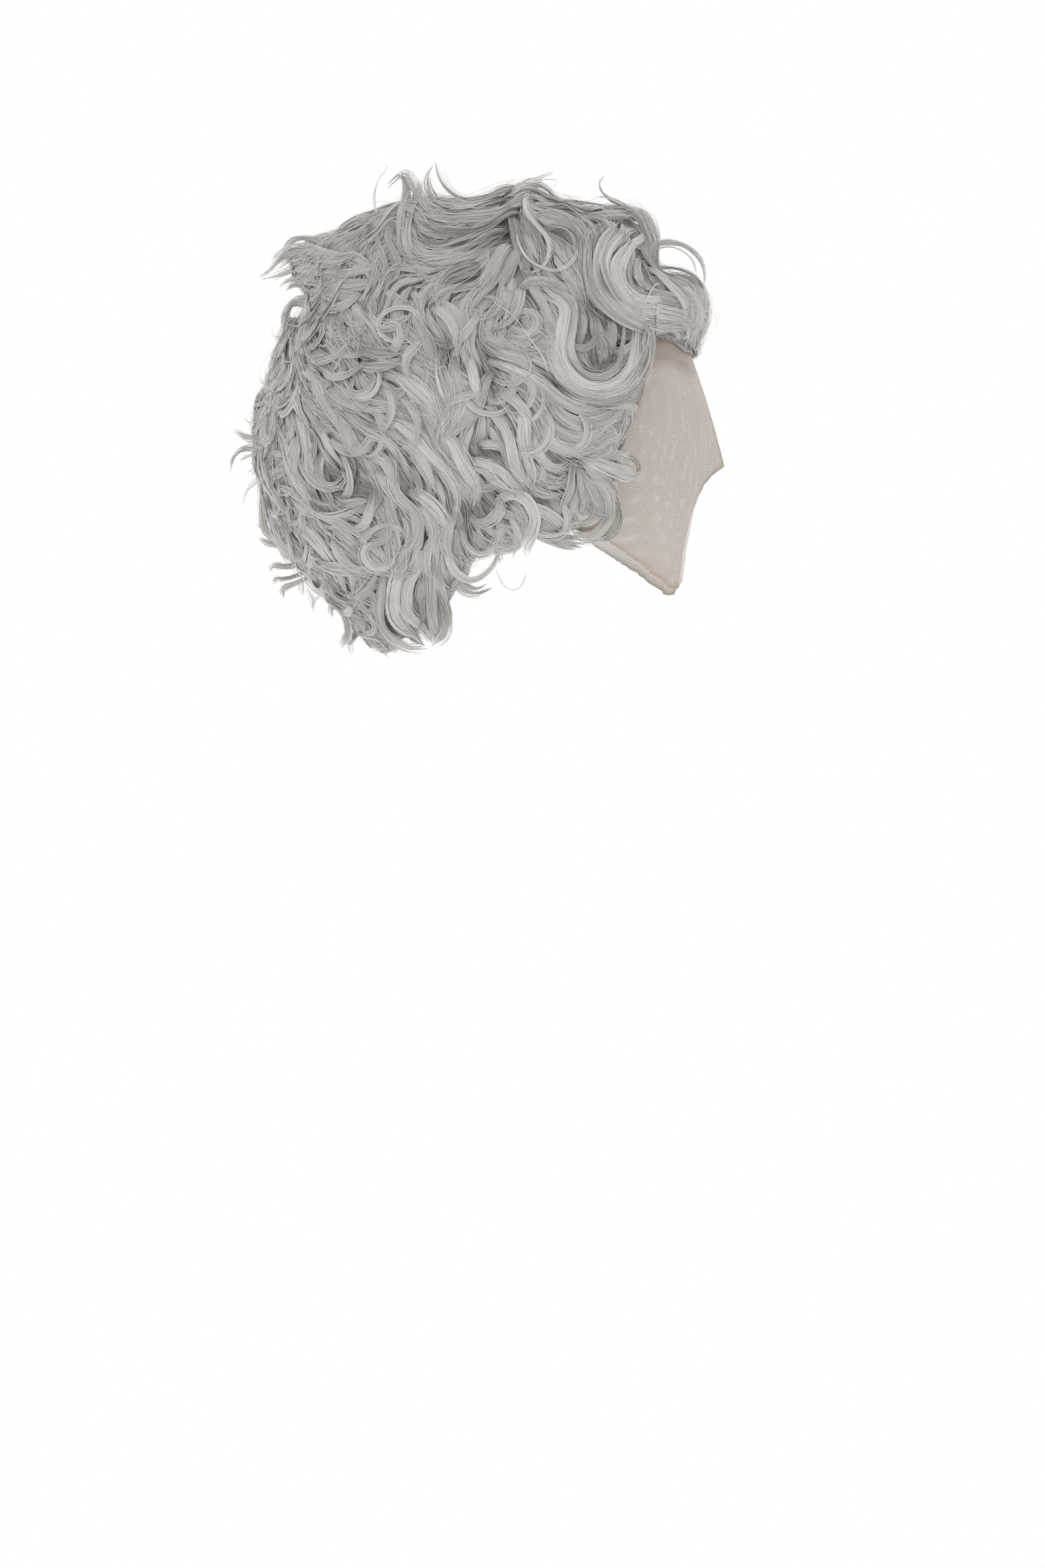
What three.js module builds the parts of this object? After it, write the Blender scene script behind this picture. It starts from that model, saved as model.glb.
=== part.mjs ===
// A short curly lace front wig: a fitted net cap, an untrimmed lace panel that hangs over the face from
// the hairline, and the hair that grows from the cap, in the six sections a wig maker ventilates.
// Millimetres, +Z up. The wearer faces -Y and the wearer's left is +X. The origin is the crown of the
// head, on the inside of the cap, where a head carries the wig.

import * as THREE from "three";

// Driving dimensions. A direction is an azimuth, 0 at the face, 90 at the wearer's right and 180 at the
// back, with a polar angle of 0 straight up, both in degrees about the middle of the head.
const HEAD_CENTRE_BELOW_CROWN = 70;
const CAP_WALL = 1.2;
const LACE_WALL = 1.0;
const FIT_GAP = 0.9;
const SEAM_HALF_ANGLE = 0.2;
const LEAST_HAIR = 3.5;
const FOREHEAD_TO_AZIMUTH = 14;
const TEMPLE_FROM_AZIMUTH = 34;
const TEMPLE_TO_AZIMUTH = 54;
const SIDEBURN_FROM_AZIMUTH = 68;
const TEMPLE_FILLS_OUT_OVER = 20;
const CROWN_ANGLE = 30;
const FRONT_HALF_AZIMUTH = 52;
const BACK_FROM_AZIMUTH = 128;
const NAPE_FROM_ANGLE = 88;

// The head that the cap is knitted to fit, as distances from the middle of the head.
const HEAD_FORM = [
  { angle: 0, front: 70, side: 70, back: 70 },
  { angle: 30, front: 80, side: 74, back: 79 },
  { angle: 50, front: 96, side: 78, back: 86.5 },
  { angle: 67, front: 103, side: 76.5, back: 90 },
  { angle: 90, front: 98, side: 75, back: 91 },
  { angle: 110, front: 96, side: 76.5, back: 95 },
  { angle: 130, front: 100, side: 84, back: 99 },
  { angle: 145, front: 110, side: 99, back: 110 },
  { angle: 160, front: 125, side: 118, back: 135 },
];

// The outside of the combed hair, as distances from the middle of the head.
const HAIR_FORM = [
  { angle: 0, front: 141, side: 141, back: 141 },
  { angle: 12, front: 137, side: 138, back: 140 },
  { angle: 24, front: 143, side: 142, back: 150 },
  { angle: 33, front: 135, side: 141, back: 160 },
  { angle: 40, front: 124, side: 139, back: 166 },
  { angle: 48, front: 126, side: 138, back: 167 },
  { angle: 54, front: 131, side: 136, back: 166 },
  { angle: 60, front: 121, side: 134, back: 163 },
  { angle: 67, front: 106, side: 132, back: 164 },
  { angle: 78, front: 104, side: 129, back: 168 },
  { angle: 90, front: 104, side: 127, back: 171 },
  { angle: 105, front: 106, side: 127, back: 172 },
  { angle: 119, front: 110, side: 130, back: 175 },
  { angle: 130, front: 114, side: 133, back: 170 },
  { angle: 146, front: 122, side: 140, back: 170 },
];

// Large rolls and hollows in the hair, each a smooth rise or dip about its middle, on both sides where
// it is not on the middle line.
const HAIR_FOLDS = [
  { fold: "top ridge", azimuth: 90, angle: 0, across: 60, along: 13, rise: 9 },
  { fold: "front roll", azimuth: 24, angle: 36, across: 20, along: 11, rise: 9 },
  { fold: "hollow behind the roll", azimuth: 52, angle: 44, across: 14, along: 12, rise: -8 },
  { fold: "temple roll", azimuth: 62, angle: 66, across: 17, along: 12, rise: 7 },
  { fold: "hollow under the temple roll", azimuth: 76, angle: 88, across: 15, along: 9, rise: -6 },
  { fold: "sideburn curl", azimuth: 66, angle: 107, across: 13, along: 10, rise: 5 },
  { fold: "crown hollow", azimuth: 112, angle: 47, across: 20, along: 11, rise: -6 },
  { fold: "side roll", azimuth: 104, angle: 78, across: 20, along: 11, rise: 5 },
  { fold: "back flick", azimuth: 180, angle: 56, across: 24, along: 6, rise: 17 },
  { fold: "hollow under the flick", azimuth: 180, angle: 66, across: 26, along: 5, rise: -4 },
  { fold: "back roll", azimuth: 150, angle: 92, across: 20, along: 12, rise: 5 },
  { fold: "nape curl", azimuth: 134, angle: 128, across: 14, along: 10, rise: 6 },
];

// Where the hair ends, and where the cap ends: the hairline, the tab before the ear and the nape.
const HAIR_EDGE = [
  { azimuth: 0, angle: 66 },
  { azimuth: 30, angle: 69 },
  { azimuth: 48, angle: 84 },
  { azimuth: 62, angle: 110 },
  { azimuth: 76, angle: 122 },
  { azimuth: 92, angle: 126 },
  { azimuth: 112, angle: 132 },
  { azimuth: 132, angle: 143 },
  { azimuth: 152, angle: 146 },
  { azimuth: 180, angle: 146 },
];
const CAP_EDGE = [
  { azimuth: 0, angle: 67 },
  { azimuth: 30, angle: 70 },
  { azimuth: 48, angle: 84 },
  { azimuth: 62, angle: 112 },
  { azimuth: 72, angle: 129 },
  { azimuth: 80, angle: 126 },
  { azimuth: 92, angle: 110 },
  { azimuth: 112, angle: 114 },
  { azimuth: 132, angle: 128 },
  { azimuth: 152, angle: 137 },
  { azimuth: 180, angle: 140 },
];

// Ribs of one half of the lace, from the crease down the middle to the end before the ear. Each leaves
// the hairline at an azimuth, ends at a point on the cut edge and stands out by its bulge on the way.
const LACE_RIBS = [
  { rib: "middle crease", azimuth: 0, edgeX: 0, edgeY: -116, edgeZ: -97, bulge: 1 },
  { rib: "inner brow", azimuth: 14, edgeX: -15, edgeY: -107, edgeZ: -104, bulge: 3 },
  { rib: "eye", azimuth: 27, edgeX: -30, edgeY: -97, edgeZ: -122, bulge: 5 },
  { rib: "cheek front", azimuth: 38, edgeX: -37, edgeY: -91, edgeZ: -150, bulge: 8 },
  { rib: "lowest point", azimuth: 47, edgeX: -41, edgeY: -86, edgeZ: -175, bulge: 11 },
  { rib: "cheek", azimuth: 56, edgeX: -54, edgeY: -64, edgeZ: -161, bulge: 8 },
  { rib: "jaw", azimuth: 64, edgeX: -62, edgeY: -47, edgeZ: -149, bulge: 4 },
  { rib: "sideburn", azimuth: 71, edgeX: -66, edgeY: -36, edgeZ: -141, bulge: 1 },
];
const LACE_SEAM_ANGLE = 0.6;

// Facets: columns go round the head and rows go down it.
const CAP_COLUMNS = 72;
const CAP_ROWS = 9;
const CROWN_COLUMNS = 36;
const CROWN_ROWS = 5;
const SECTION_COLUMN_DEGREES = 5.2;
const SECTION_ROW_DEGREES = 5.5;
const LACE_HALF_COLUMNS = 18;
const LACE_ROWS = 9;

const radians = THREE.MathUtils.degToRad;
const HEAD_CENTRE = new THREE.Vector3(0, 0, -HEAD_CENTRE_BELOW_CROWN);

// Smooth value of a table's column at a place along its key column.
function lookUp(table, key, column, at) {
  const last = table.length - 1;
  const place = THREE.MathUtils.clamp(at, table[0][key], table[last][key]);
  const next = Math.max(1, table.findIndex((row) => row[key] >= place));
  const slopeAt = (i) => {
    const before = table[Math.max(0, i - 1)];
    const after = table[Math.min(last, i + 1)];
    return (after[column] - before[column]) / (after[key] - before[key]);
  };
  const start = table[next - 1];
  const end = table[next];
  const span = end[key] - start[key];
  const t = (place - start[key]) / span;
  const easeIn = t * t * (3 - 2 * t);
  const startBend = t * (1 - t) * (1 - t) * span * slopeAt(next - 1);
  const endBend = t * t * (t - 1) * span * slopeAt(next);
  return start[column] * (1 - easeIn) + end[column] * easeIn + startBend + endBend;
}

// Azimuth folded onto one half of the head, from 0 at the face to 180 at the back.
const halfAzimuth = (azimuth) => Math.abs(THREE.MathUtils.euclideanModulo(azimuth + 180, 360) - 180);

function pointAt(azimuth, angle, distance) {
  const round = radians(azimuth);
  const down = radians(angle);
  const away = new THREE.Vector3(
    -Math.sin(down) * Math.sin(round),
    -Math.sin(down) * Math.cos(round),
    Math.cos(down),
  );
  return away.multiplyScalar(distance).add(HEAD_CENTRE);
}

// Distance out to a form whose level sections are ellipses with the table's three half widths.
function formDistance(form, azimuth, angle) {
  const along = Math.cos(radians(azimuth));
  const reach = lookUp(form, "angle", along > 0 ? "front" : "back", angle);
  const side = lookUp(form, "angle", "side", angle);
  return 1 / Math.hypot(along / reach, Math.sin(radians(azimuth)) / side);
}

function foldRise(azimuth, angle) {
  const level = Math.sin(radians(angle));
  return HAIR_FOLDS.reduce((sum, fold) => {
    const across = ((halfAzimuth(azimuth) - fold.azimuth) * level) / fold.across;
    const along = (angle - fold.angle) / fold.along;
    return sum + fold.rise * Math.exp(-across * across - along * along);
  }, 0);
}

const scalp = (azimuth, angle) => formDistance(HEAD_FORM, azimuth, angle);
const hairRoots = (azimuth, angle) => scalp(azimuth, angle) + CAP_WALL + FIT_GAP;
const hairEdge = (azimuth) => lookUp(HAIR_EDGE, "azimuth", "angle", halfAzimuth(azimuth));

// How full the hair is beside its form: 1 over most of the head, thinning to 0 at the edge of each temple.
function fullness(azimuth, angle) {
  const { smoothstep } = THREE.MathUtils;
  const turn = halfAzimuth(azimuth);
  const overForehead = 1 - smoothstep(turn, FOREHEAD_TO_AZIMUTH, TEMPLE_FROM_AZIMUTH);
  const atSideburn = smoothstep(turn, TEMPLE_TO_AZIMUTH, SIDEBURN_FROM_AZIMUTH);
  const aboveEdge = smoothstep(hairEdge(azimuth) - angle, 0, TEMPLE_FILLS_OUT_OVER);
  return Math.max(overForehead, atSideburn, aboveEdge);
}

function hairOutside(azimuth, angle) {
  const roots = hairRoots(azimuth, angle);
  const form = formDistance(HAIR_FORM, azimuth, angle) + foldRise(azimuth, angle);
  return roots + Math.max(LEAST_HAIR, (form - roots) * fullness(azimuth, angle));
}
const capEdge = (azimuth) => lookUp(CAP_EDGE, "azimuth", "angle", halfAzimuth(azimuth));

// A closed wall between two skins, each a function of column and row, with its rims filled in. A round
// wall joins its last column to its first and closes at a pole in row 0.
function wallBetween(columns, rows, outerSkin, innerSkin, round) {
  const vertices = [];
  const triangles = [];
  const columnCount = round ? columns : columns + 1;
  const index = [];
  for (const skin of [outerSkin, innerSkin]) {
    const grid = [];
    for (let row = 0; row <= rows; row += 1) {
      const line = [];
      for (let column = 0; column < columnCount; column += 1) {
        const shared = round && row === 0 && column > 0;
        line.push(shared ? line[0] : vertices.length / 3);
        if (!shared) vertices.push(...skin(column / columns, row / rows).toArray());
      }
      if (round) line.push(line[0]);
      grid.push(line);
    }
    index.push(grid);
  }
  const [outer, inner] = index;
  const quad = (a, b, c, d) => {
    for (const [p, q, r] of [[a, b, c], [a, c, d]]) {
      if (p !== q && q !== r && r !== p) triangles.push(p, q, r);
    }
  };
  for (let row = 0; row < rows; row += 1) {
    for (let column = 0; column < columns; column += 1) {
      const right = column + 1;
      const below = row + 1;
      quad(outer[row][column], outer[row][right], outer[below][right], outer[below][column]);
      quad(inner[below][column], inner[below][right], inner[row][right], inner[row][column]);
    }
  }
  for (let column = 0; column < columns; column += 1) {
    const right = column + 1;
    quad(outer[rows][column], outer[rows][right], inner[rows][right], inner[rows][column]);
    if (!round) quad(inner[0][column], inner[0][right], outer[0][right], outer[0][column]);
  }
  for (let row = 0; row < rows && !round; row += 1) {
    const below = row + 1;
    quad(outer[row][0], outer[below][0], inner[below][0], inner[row][0]);
    quad(inner[row][columns], inner[below][columns], outer[below][columns], outer[row][columns]);
  }
  const geometry = new THREE.BufferGeometry();
  geometry.setAttribute("position", new THREE.Float32BufferAttribute(vertices, 3));
  geometry.setIndex(triangles);
  geometry.computeVertexNormals();
  return geometry;
}

function capGeometry() {
  const skin = (distance) => (across, down) => {
    const azimuth = across * 360;
    const angle = down * capEdge(azimuth);
    return pointAt(azimuth, angle, distance(azimuth, angle));
  };
  const outside = (azimuth, angle) => scalp(azimuth, angle) + CAP_WALL;
  return wallBetween(CAP_COLUMNS, CAP_ROWS, skin(outside), skin(scalp), true);
}

function crownHairGeometry() {
  const skin = (distance) => (across, down) => {
    const azimuth = across * 360;
    const angle = down * (CROWN_ANGLE - SEAM_HALF_ANGLE);
    return pointAt(azimuth, angle, distance(azimuth, angle));
  };
  return wallBetween(CROWN_COLUMNS, CROWN_ROWS, skin(hairOutside), skin(hairRoots), true);
}

// One section of hair, between two azimuths and from one polar angle down to another or to the hair's
// edge, with half of each seam taken off.
function hairSectionGeometry({ from, to, top, bottom }) {
  const left = from + SEAM_HALF_ANGLE;
  const right = to - SEAM_HALF_ANGLE;
  const lowest = (azimuth) => (bottom === undefined ? hairEdge(azimuth) : bottom - SEAM_HALF_ANGLE);
  const highest = top + SEAM_HALF_ANGLE;
  const skin = (distance) => (across, down) => {
    const azimuth = THREE.MathUtils.lerp(left, right, across);
    const angle = THREE.MathUtils.lerp(highest, lowest(azimuth), down);
    return pointAt(azimuth, angle, distance(azimuth, angle));
  };
  const columns = Math.ceil((to - from) / SECTION_COLUMN_DEGREES);
  const rows = Math.ceil((lowest((from + to) / 2) - top) / SECTION_ROW_DEGREES);
  return wallBetween(columns, rows, skin(hairOutside), skin(hairRoots), false);
}

// A point of the lace on the wearer's right half, across from the middle crease to the sideburn and down
// from the hairline to the cut edge. Each rib is a curve through its bulge.
function laceHalfPoint(across, down) {
  const ribs = LACE_RIBS.map((rib) => {
    const root = pointAt(
      rib.azimuth,
      capEdge(rib.azimuth) + LACE_SEAM_ANGLE,
      scalp(rib.azimuth, capEdge(rib.azimuth) + LACE_SEAM_ANGLE) + LACE_WALL,
    );
    const end = new THREE.Vector3(rib.edgeX, rib.edgeY, rib.edgeZ);
    const middle = root.clone().lerp(end, 0.5);
    const outward = new THREE.Vector3(middle.x, middle.y, 0).normalize();
    const handle = middle.addScaledVector(outward, 2 * rib.bulge);
    return new THREE.QuadraticBezierCurve3(root, handle, end).getPoint(down);
  });
  return new THREE.CatmullRomCurve3(ribs).getPoint(across);
}

function laceGeometry() {
  const skinPoint = (across, down) => {
    const side = 2 * across - 1;
    const point = laceHalfPoint(Math.abs(side), down);
    if (side < 0) point.x = -point.x;
    return point;
  };
  const inward = (across, down) => {
    const step = 0.02;
    const sideways = skinPoint(Math.min(1, across + step), down);
    sideways.sub(skinPoint(Math.max(0, across - step), down));
    const downwards = skinPoint(across, Math.min(1, down + step));
    downwards.sub(skinPoint(across, Math.max(0, down - step)));
    return downwards.cross(sideways).normalize();
  };
  const innerPoint = (across, down) =>
    skinPoint(across, down).addScaledVector(inward(across, down), LACE_WALL);
  return wallBetween(2 * LACE_HALF_COLUMNS, LACE_ROWS, skinPoint, innerPoint, false);
}

const netCloth = new THREE.MeshStandardMaterial({ color: 0xcfc3b6, roughness: 0.9, metalness: 0 });
const laceCloth = new THREE.MeshStandardMaterial({ color: 0xd8c8bb, roughness: 0.9, metalness: 0 });
const silverHair = new THREE.MeshStandardMaterial({ color: 0xb9b5b1, roughness: 0.5, metalness: 0 });

function piece(name, geometry, material) {
  const mesh = new THREE.Mesh(geometry, material);
  mesh.name = name;
  return mesh;
}

const HAIR_SECTIONS = [
  { name: "hair_front", from: -FRONT_HALF_AZIMUTH, to: FRONT_HALF_AZIMUTH, top: CROWN_ANGLE },
  { name: "hair_side_right", from: FRONT_HALF_AZIMUTH, to: BACK_FROM_AZIMUTH, top: CROWN_ANGLE },
  { name: "hair_side_left", from: 360 - BACK_FROM_AZIMUTH, to: 360 - FRONT_HALF_AZIMUTH, top: CROWN_ANGLE },
  {
    name: "hair_back_upper",
    from: BACK_FROM_AZIMUTH,
    to: 360 - BACK_FROM_AZIMUTH,
    top: CROWN_ANGLE,
    bottom: NAPE_FROM_ANGLE,
  },
  { name: "hair_nape", from: BACK_FROM_AZIMUTH, to: 360 - BACK_FROM_AZIMUTH, top: NAPE_FROM_ANGLE },
];

const wig = new THREE.Group();
wig.add(piece("cap", capGeometry(), netCloth));
wig.add(piece("lace_front", laceGeometry(), laceCloth));
wig.add(piece("hair_crown", crownHairGeometry(), silverHair));
for (const section of HAIR_SECTIONS) {
  wig.add(piece(section.name, hairSectionGeometry(section), silverHair));
}

export default wig;
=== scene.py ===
"""A short curly silver lace front wig, dressed lock by lock: each lock is a bundle of flat fibres that
follows a combed path over the hair's form, on a knitted net cap with an untrimmed lace front."""

from collections import namedtuple

import bmesh
import bpy
import numpy as np
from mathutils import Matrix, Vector
from mathutils.bvhtree import BVHTree


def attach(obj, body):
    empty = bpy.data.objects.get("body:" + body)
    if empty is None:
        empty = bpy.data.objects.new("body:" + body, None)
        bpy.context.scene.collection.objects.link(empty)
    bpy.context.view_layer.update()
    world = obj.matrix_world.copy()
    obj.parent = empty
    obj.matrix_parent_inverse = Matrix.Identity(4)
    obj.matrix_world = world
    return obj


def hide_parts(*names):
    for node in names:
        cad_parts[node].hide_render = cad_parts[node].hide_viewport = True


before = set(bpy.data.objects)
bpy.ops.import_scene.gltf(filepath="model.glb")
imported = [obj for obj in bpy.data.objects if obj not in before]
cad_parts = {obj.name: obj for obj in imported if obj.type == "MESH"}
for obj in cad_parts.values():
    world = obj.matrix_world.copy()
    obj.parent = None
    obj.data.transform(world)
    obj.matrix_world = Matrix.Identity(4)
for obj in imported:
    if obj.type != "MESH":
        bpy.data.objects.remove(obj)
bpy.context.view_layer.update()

# Sizes are millimetres until a mesh is made, and directions are degrees. The wearer faces -Y, and the
# wearer's right is -X.
MM = 0.001
CAP_MIDDLE = np.array((0.0, 0.0, -70.0))
AZIMUTH_STEP = 3
ANGLE_STEP = 2
AZIMUTHS = np.arange(0, 360, AZIMUTH_STEP)
ANGLES = np.arange(1, 180, ANGLE_STEP)
EDGE_SEARCH_STEP = 0.25
FAR_OUT = 400.0
FARTHEST = 172.0
JOIN_DISTANCE = 0.02
MOST_TRIANGLES = 190000

# Studio: a floor far below, a side view as tall as the picture, and soft light from the wearer's right.
FLOOR_LEVEL = -1600.0
FLOOR_RADIUS = 3000.0
CAMERA_PLACE = np.array((-2600.0, 8.2, -292.0))
PICTURE_HEIGHT = 964.0
SENSOR = 36.0
ROOM_LIGHT = 0.5
BACK_LIGHT = 1.7
WHITE_WALL = 1.0
KEY_PLACE = Vector((-2300.0, 100.0, 100.0))
KEY_AIM = Vector((0.0, 30.0, -70.0))
KEY_SIZE = 2400.0
KEY_POWER = 29.5

# The hair's sections, by azimuth round from the front and angle down from straight up
HAIR_NODES = (
    "hair_crown", "hair_front", "hair_side_right", "hair_side_left", "hair_back_upper", "hair_nape",
)
CROWN_ANGLE = 30
FRONT_HALF_AZIMUTH = 52
BACK_FROM_AZIMUTH = 128
NAPE_FROM_ANGLE = 88

# Tones run from 0, the darkest grey of the fibre's material, to 1, the palest.
MIDDLE_TONE = 0.5
DARKEST_TONE = 0.02
PALEST_TONE = 0.98
LOCK_TONE_SPREAD = 0.03
BODY_TONE_SPREAD = 0.04
FIBRE_TONE_SPREAD = 0.025
FIBRE_TONES = 0.004
# How far a lock body's tone runs across it: this spreads its streaks, and it paints one side paler than the
# other as painted shade.
BODY_STREAKS_AND_SIDE_SHADE = 0.09
# Painted highlight and shade: a lock is painted paler by this much for each unit that it is lifted off the
# form, and darker where it is sunk.
PAINTED_LIGHT_PER_LIFT = 0.05
# Painted shade: hair in the hollows is painted darker by this much for each millimetre of a hollow's depth.
PAINTED_SHADE_PER_DEPTH = 0.1
# Painted rim light: hair near the upright plane through the cap's middle, which makes the outline seen from
# the side, is painted paler, as if lit through from behind.
PAINTED_RIM_LIGHT = 0.12

# How each kind of hair is dressed: the columns of its smooth body, or none, its fibres, how loose and how
# broad they are, how much paler than the tones around them, and how far it rolls along its length. Real wig
# fibre is about 0.08 mm across. It is drawn two to six times as broad, and in far smaller numbers, so that
# it shows and the pieces stay small.
Dressing = namedtuple("Dressing", "columns fibres looseness fibre_width tone roll")
LOCK = Dressing(5, 0, 1.0, 0.28, 0.0, 24.0)
STRAY = Dressing(0, 9, 3.0, 0.2, 0.08, 24.0)
WISP = Dressing(0, 3, 1.6, 0.2, 0.2, 24.0)
CURL = Dressing(3, 19, 1.2, 0.33, 0.0, 24.0)
HOOK = Dressing(0, 9, 1.6, 0.2, 0.15, 0.0)
INNER_LOCK = Dressing(3, 8, 2.0, 0.4, 0.0, 8.0)
UNDERSIDE_LOCK = Dressing(3, 10, 2.0, 0.4, 0.0, 0.0)
HAIRLINE_HAIR = Dressing(0, 7, 1.5, 0.28, 0.08, 0.0)
LOOSE_HAIR = Dressing(0, 2, 4.0, 0.28, 0.2, 0.0)
BACK_HAIR = Dressing(0, 2, 4.0, 0.28, 0.25, 0.0)
FLYAWAY = Dressing(0, 1, 3.0, 0.2, 0.1, 0.0)

# The locks' own fibres go by their width. The sides away from the camera have fewer and broader ones.
LOCK_FIBRES_PER_MM = 8.0
WISP_FIBRES_PER_MM = 6.0
WISP_WIDTH = 3.0
CLUMPS_PER_MM = 1.3
FAR_SHARE = 0.6
FAR_FIBRE_WIDTH = 0.45
SEGMENT_LENGTH = 4.6
CURVE_STEPS = 12
FEWEST_STOPS = 6

# How a lock lies on the form
LIFT_SHARE = 0.6
LOWEST_HEIGHT = -2.0
ROOT_SINK = 5.0
SINK_SHARE = 0.22
SINKING_WIDTH = 3
BULGE = 1.2
BULGE_LENGTH = 42.0
BULGING_WIDTH = 4
BODY_SHARE = 0.82
LOCK_THICKNESS_SHARE = 0.18
LEAN = 0.9
LEAN_REACH = 60.0
SLOPE_STEP = 7.0
EDGE_MARGIN = 2
DRIFT_PAST_EDGE = 1.6
SIGHT_SHARES = np.arange(0.935, 1.06, 0.0006)

# Locks that go on round the front, and copies for the wearer's left and the back
CARRY_PAST_Y = -87
CARRY_WITHIN_AZIMUTH = 40
CARRY_STEPS = np.arange(1, 8)
CARRY_TURN = 3.2
CARRY_DROP = 0.7
CARRY_MARGIN = 3
HELD_UP = 7.0
STANDING = 5.0
LEFT_FROM_ANGLE = 8
LEFT_TURN_SPREAD = 2.5
LEFT_DROP_SPREAD = 1.2
BACK_SOURCE_AZIMUTHS = (82, 128)
BACK_SOURCE_ANGLES = (40, 150)
BACK_TURN = 58
BACK_TURN_SPREAD = 3
BACK_DROP_SPREAD = 2

# The hair's bulk under the locks, drawn in from the form but for its inner skin
ROOT_CLEARANCE = 1.0
BULK_CLEARANCE = 2.5
BULK_SHARE = 0.7
BULK_DEPTH = 7.0
THINNEST_BULK = 1.0
INNER_SKIN = 6.0
BULK_BACK_AZIMUTH = 108
BULK_LEAST_AT_BACK = 0.8
BULK_LEAST = 0.4
BULK_PAST_EDGE = 6
BULK_TAPER = 24
BULK_HOLLOWS = 1.3
# The bulk is painted a little darker than the locks' middle tone, as painted shade of the hair's depth.
BULK_SHADED_TONE = 0.42
BULK_TONES = 0.1
BULK_TONE_TURN = 18
# Painted shade: the bulk's underside, past the hair's lower edge, is painted darker by this much.
UNDERSIDE_PAINTED_SHADE = 0.25

# Hair between the locks, in layers of bundles: places, depths, a bundle's width and how it is dressed
COMB_REACH = 9.0
COMB_HANG = np.array((0, 0, -0.4))
COMB_HOLD = 0.45
COMB_PULL = 0.55
COMB_WANDER = 0.1
UNDER_LAYERS = [
    (2600, (-3.0, 0.0), 8.0, Dressing(3, 5, 1.5, 0.45, 0.0, 8.0)),
    # The deeper layer is painted a little darker, as painted shade.
    (1400, (-9.0, -4.0), 11.0, Dressing(3, 2, 1.5, 0.45, -0.02, 8.0)),
]
UNDER_DEEPEST_SHARE = 0.8
UNDER_STEPS = 9
UNDER_STEP = 5.0
GOLDEN_TURN = 137.508
SPREAD_FROM_ANGLE = 4
SPREAD_LEVELS = 1.85
SPREAD_MARGIN = 3

# Small curls on the lower half of the hair, and hooks that stand off its outline at the back
CURL_PLACES = 1200
CURLS_BELOW = 62.0
CURLS_OFF_FRONT = 62
CURL_CLEARANCE = 7.0
CURL_CLEAR_LIFT = 2.5
CURL_STEPS = 10
CURL_STEP = 4.6
CURL_LIFTS = (0.5, 4.0)
CURL_RADII = (8.0, 20.0)
CURL_SINK = 1.5
CURL_PAST_EDGE = 0.5
CURL_WIDTH = 6.0
HOOK_PLACES = 700
HOOK_HALF_AZIMUTH = 38
HOOKS_BELOW = 62
HOOK_MARGIN = 10
HOOK_STOPS = 9
HOOK_RADII = (2.5, 5.0)
HOOK_SWINGS = (120, 230)
HOOK_SIDEWAYS = 4
HOOK_SINK = 0.5
HOOK_WIDTH = 2.5

# Hair inside the nape and on the bulk's underside
INNER_AZIMUTHS = np.arange(78, 283, 2.5)
INNER_STOPS = 9
INNER_LEAST_DROP = 4
INNER_WAVES = 9
INNER_SWINGS = (2, 7)
INNER_OFFSETS = (0.4, 2.4)
INNER_WIDTHS = (4, 10)
# A tone's mean and spread: the mean below 0 paints the hair inside the nape darker, as painted shade, and the
# spread is random.
INNER_SHADED_TONE = (-0.06, 0.06)
UNDERSIDE_AZIMUTHS = np.arange(66, 295, 2.0)
UNDERSIDE_REACH = (56.0, 150.0)
UNDERSIDE_STEP = 3.0
UNDERSIDE_SWAY = 14
UNDERSIDE_FACING = 0.2
UNDERSIDE_WITHIN = 3
UNDERSIDE_OFF = 0.8
UNDERSIDE_WIDTHS = (6, 10)
# A tone's mean and spread: the mean below 0 paints the hair on the bulk's underside darker, as painted shade,
# and the spread is random.
UNDERSIDE_LOCK_SHADED_TONE = (-0.08, 0.05)

# Fine hairs along the hairline, loose over the locks, down the back and off the outline
HAIRLINE_HAIRS = 560
HAIRLINE_HALF_AZIMUTH = 68
HAIRLINE_PAST_EDGE = (0.2, 1.8)
HAIRLINE_SWINGS = (2, 14)
HAIRLINE_RISES = (9, 15)
HAIRLINE_STOPS = 6
LOOSE_PLACES = 2000
LOOSE_HEIGHTS = (-1, 4)
LOOSE_STEPS = 10
LOOSE_STEP = 4.5
LOOSE_WIDTH = 6.0
BACK_PLACES = 3600
BACK_HALF_AZIMUTH = 34
BACK_BELOW = 40
BACK_HEIGHTS = (0, 3)
BACK_STEPS = 8
FLYAWAY_PLACES = 4000
FLYAWAY_RISES = (1, 10.0)
FLYAWAY_STEPS = 8
FLYAWAY_STEP = 4.0
FLYAWAY_WIDTH = 4.0

# The lace: a column for each azimuth, with the radii at which its net is laid out flat
LACE_COLUMNS = 141
LACE_ROWS = 70
LACE_HALF_AZIMUTH = 70.0
LACE_SCAN_STEP = 0.5
LACE_SCAN = np.arange(56, 146, LACE_SCAN_STEP)
LACE_FACING = 0.02
LACE_UNDER_HAIR = 1.5
LACE_OVER_CAP = 0.8
LACE_SMOOTHINGS = 3
LACE_ROUND_RADIUS = 100
LACE_DOWN_RADIUS = 112
LACE_FOLD_AZIMUTH = 0.6
LACE_CUT_EDGE = 60
LACE_SEWN_DROP = 6
LACE_SEWN_COVER = 1.6

dice = np.random.default_rng(11)

# The locks on the wearer's right, as they fall in a side view. A path is (y, z) from root to tip, width
# is the lock's at its broadest and lift is how far it stands off the hair's form.
Lock = namedtuple("Lock", "width lift path")

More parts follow.
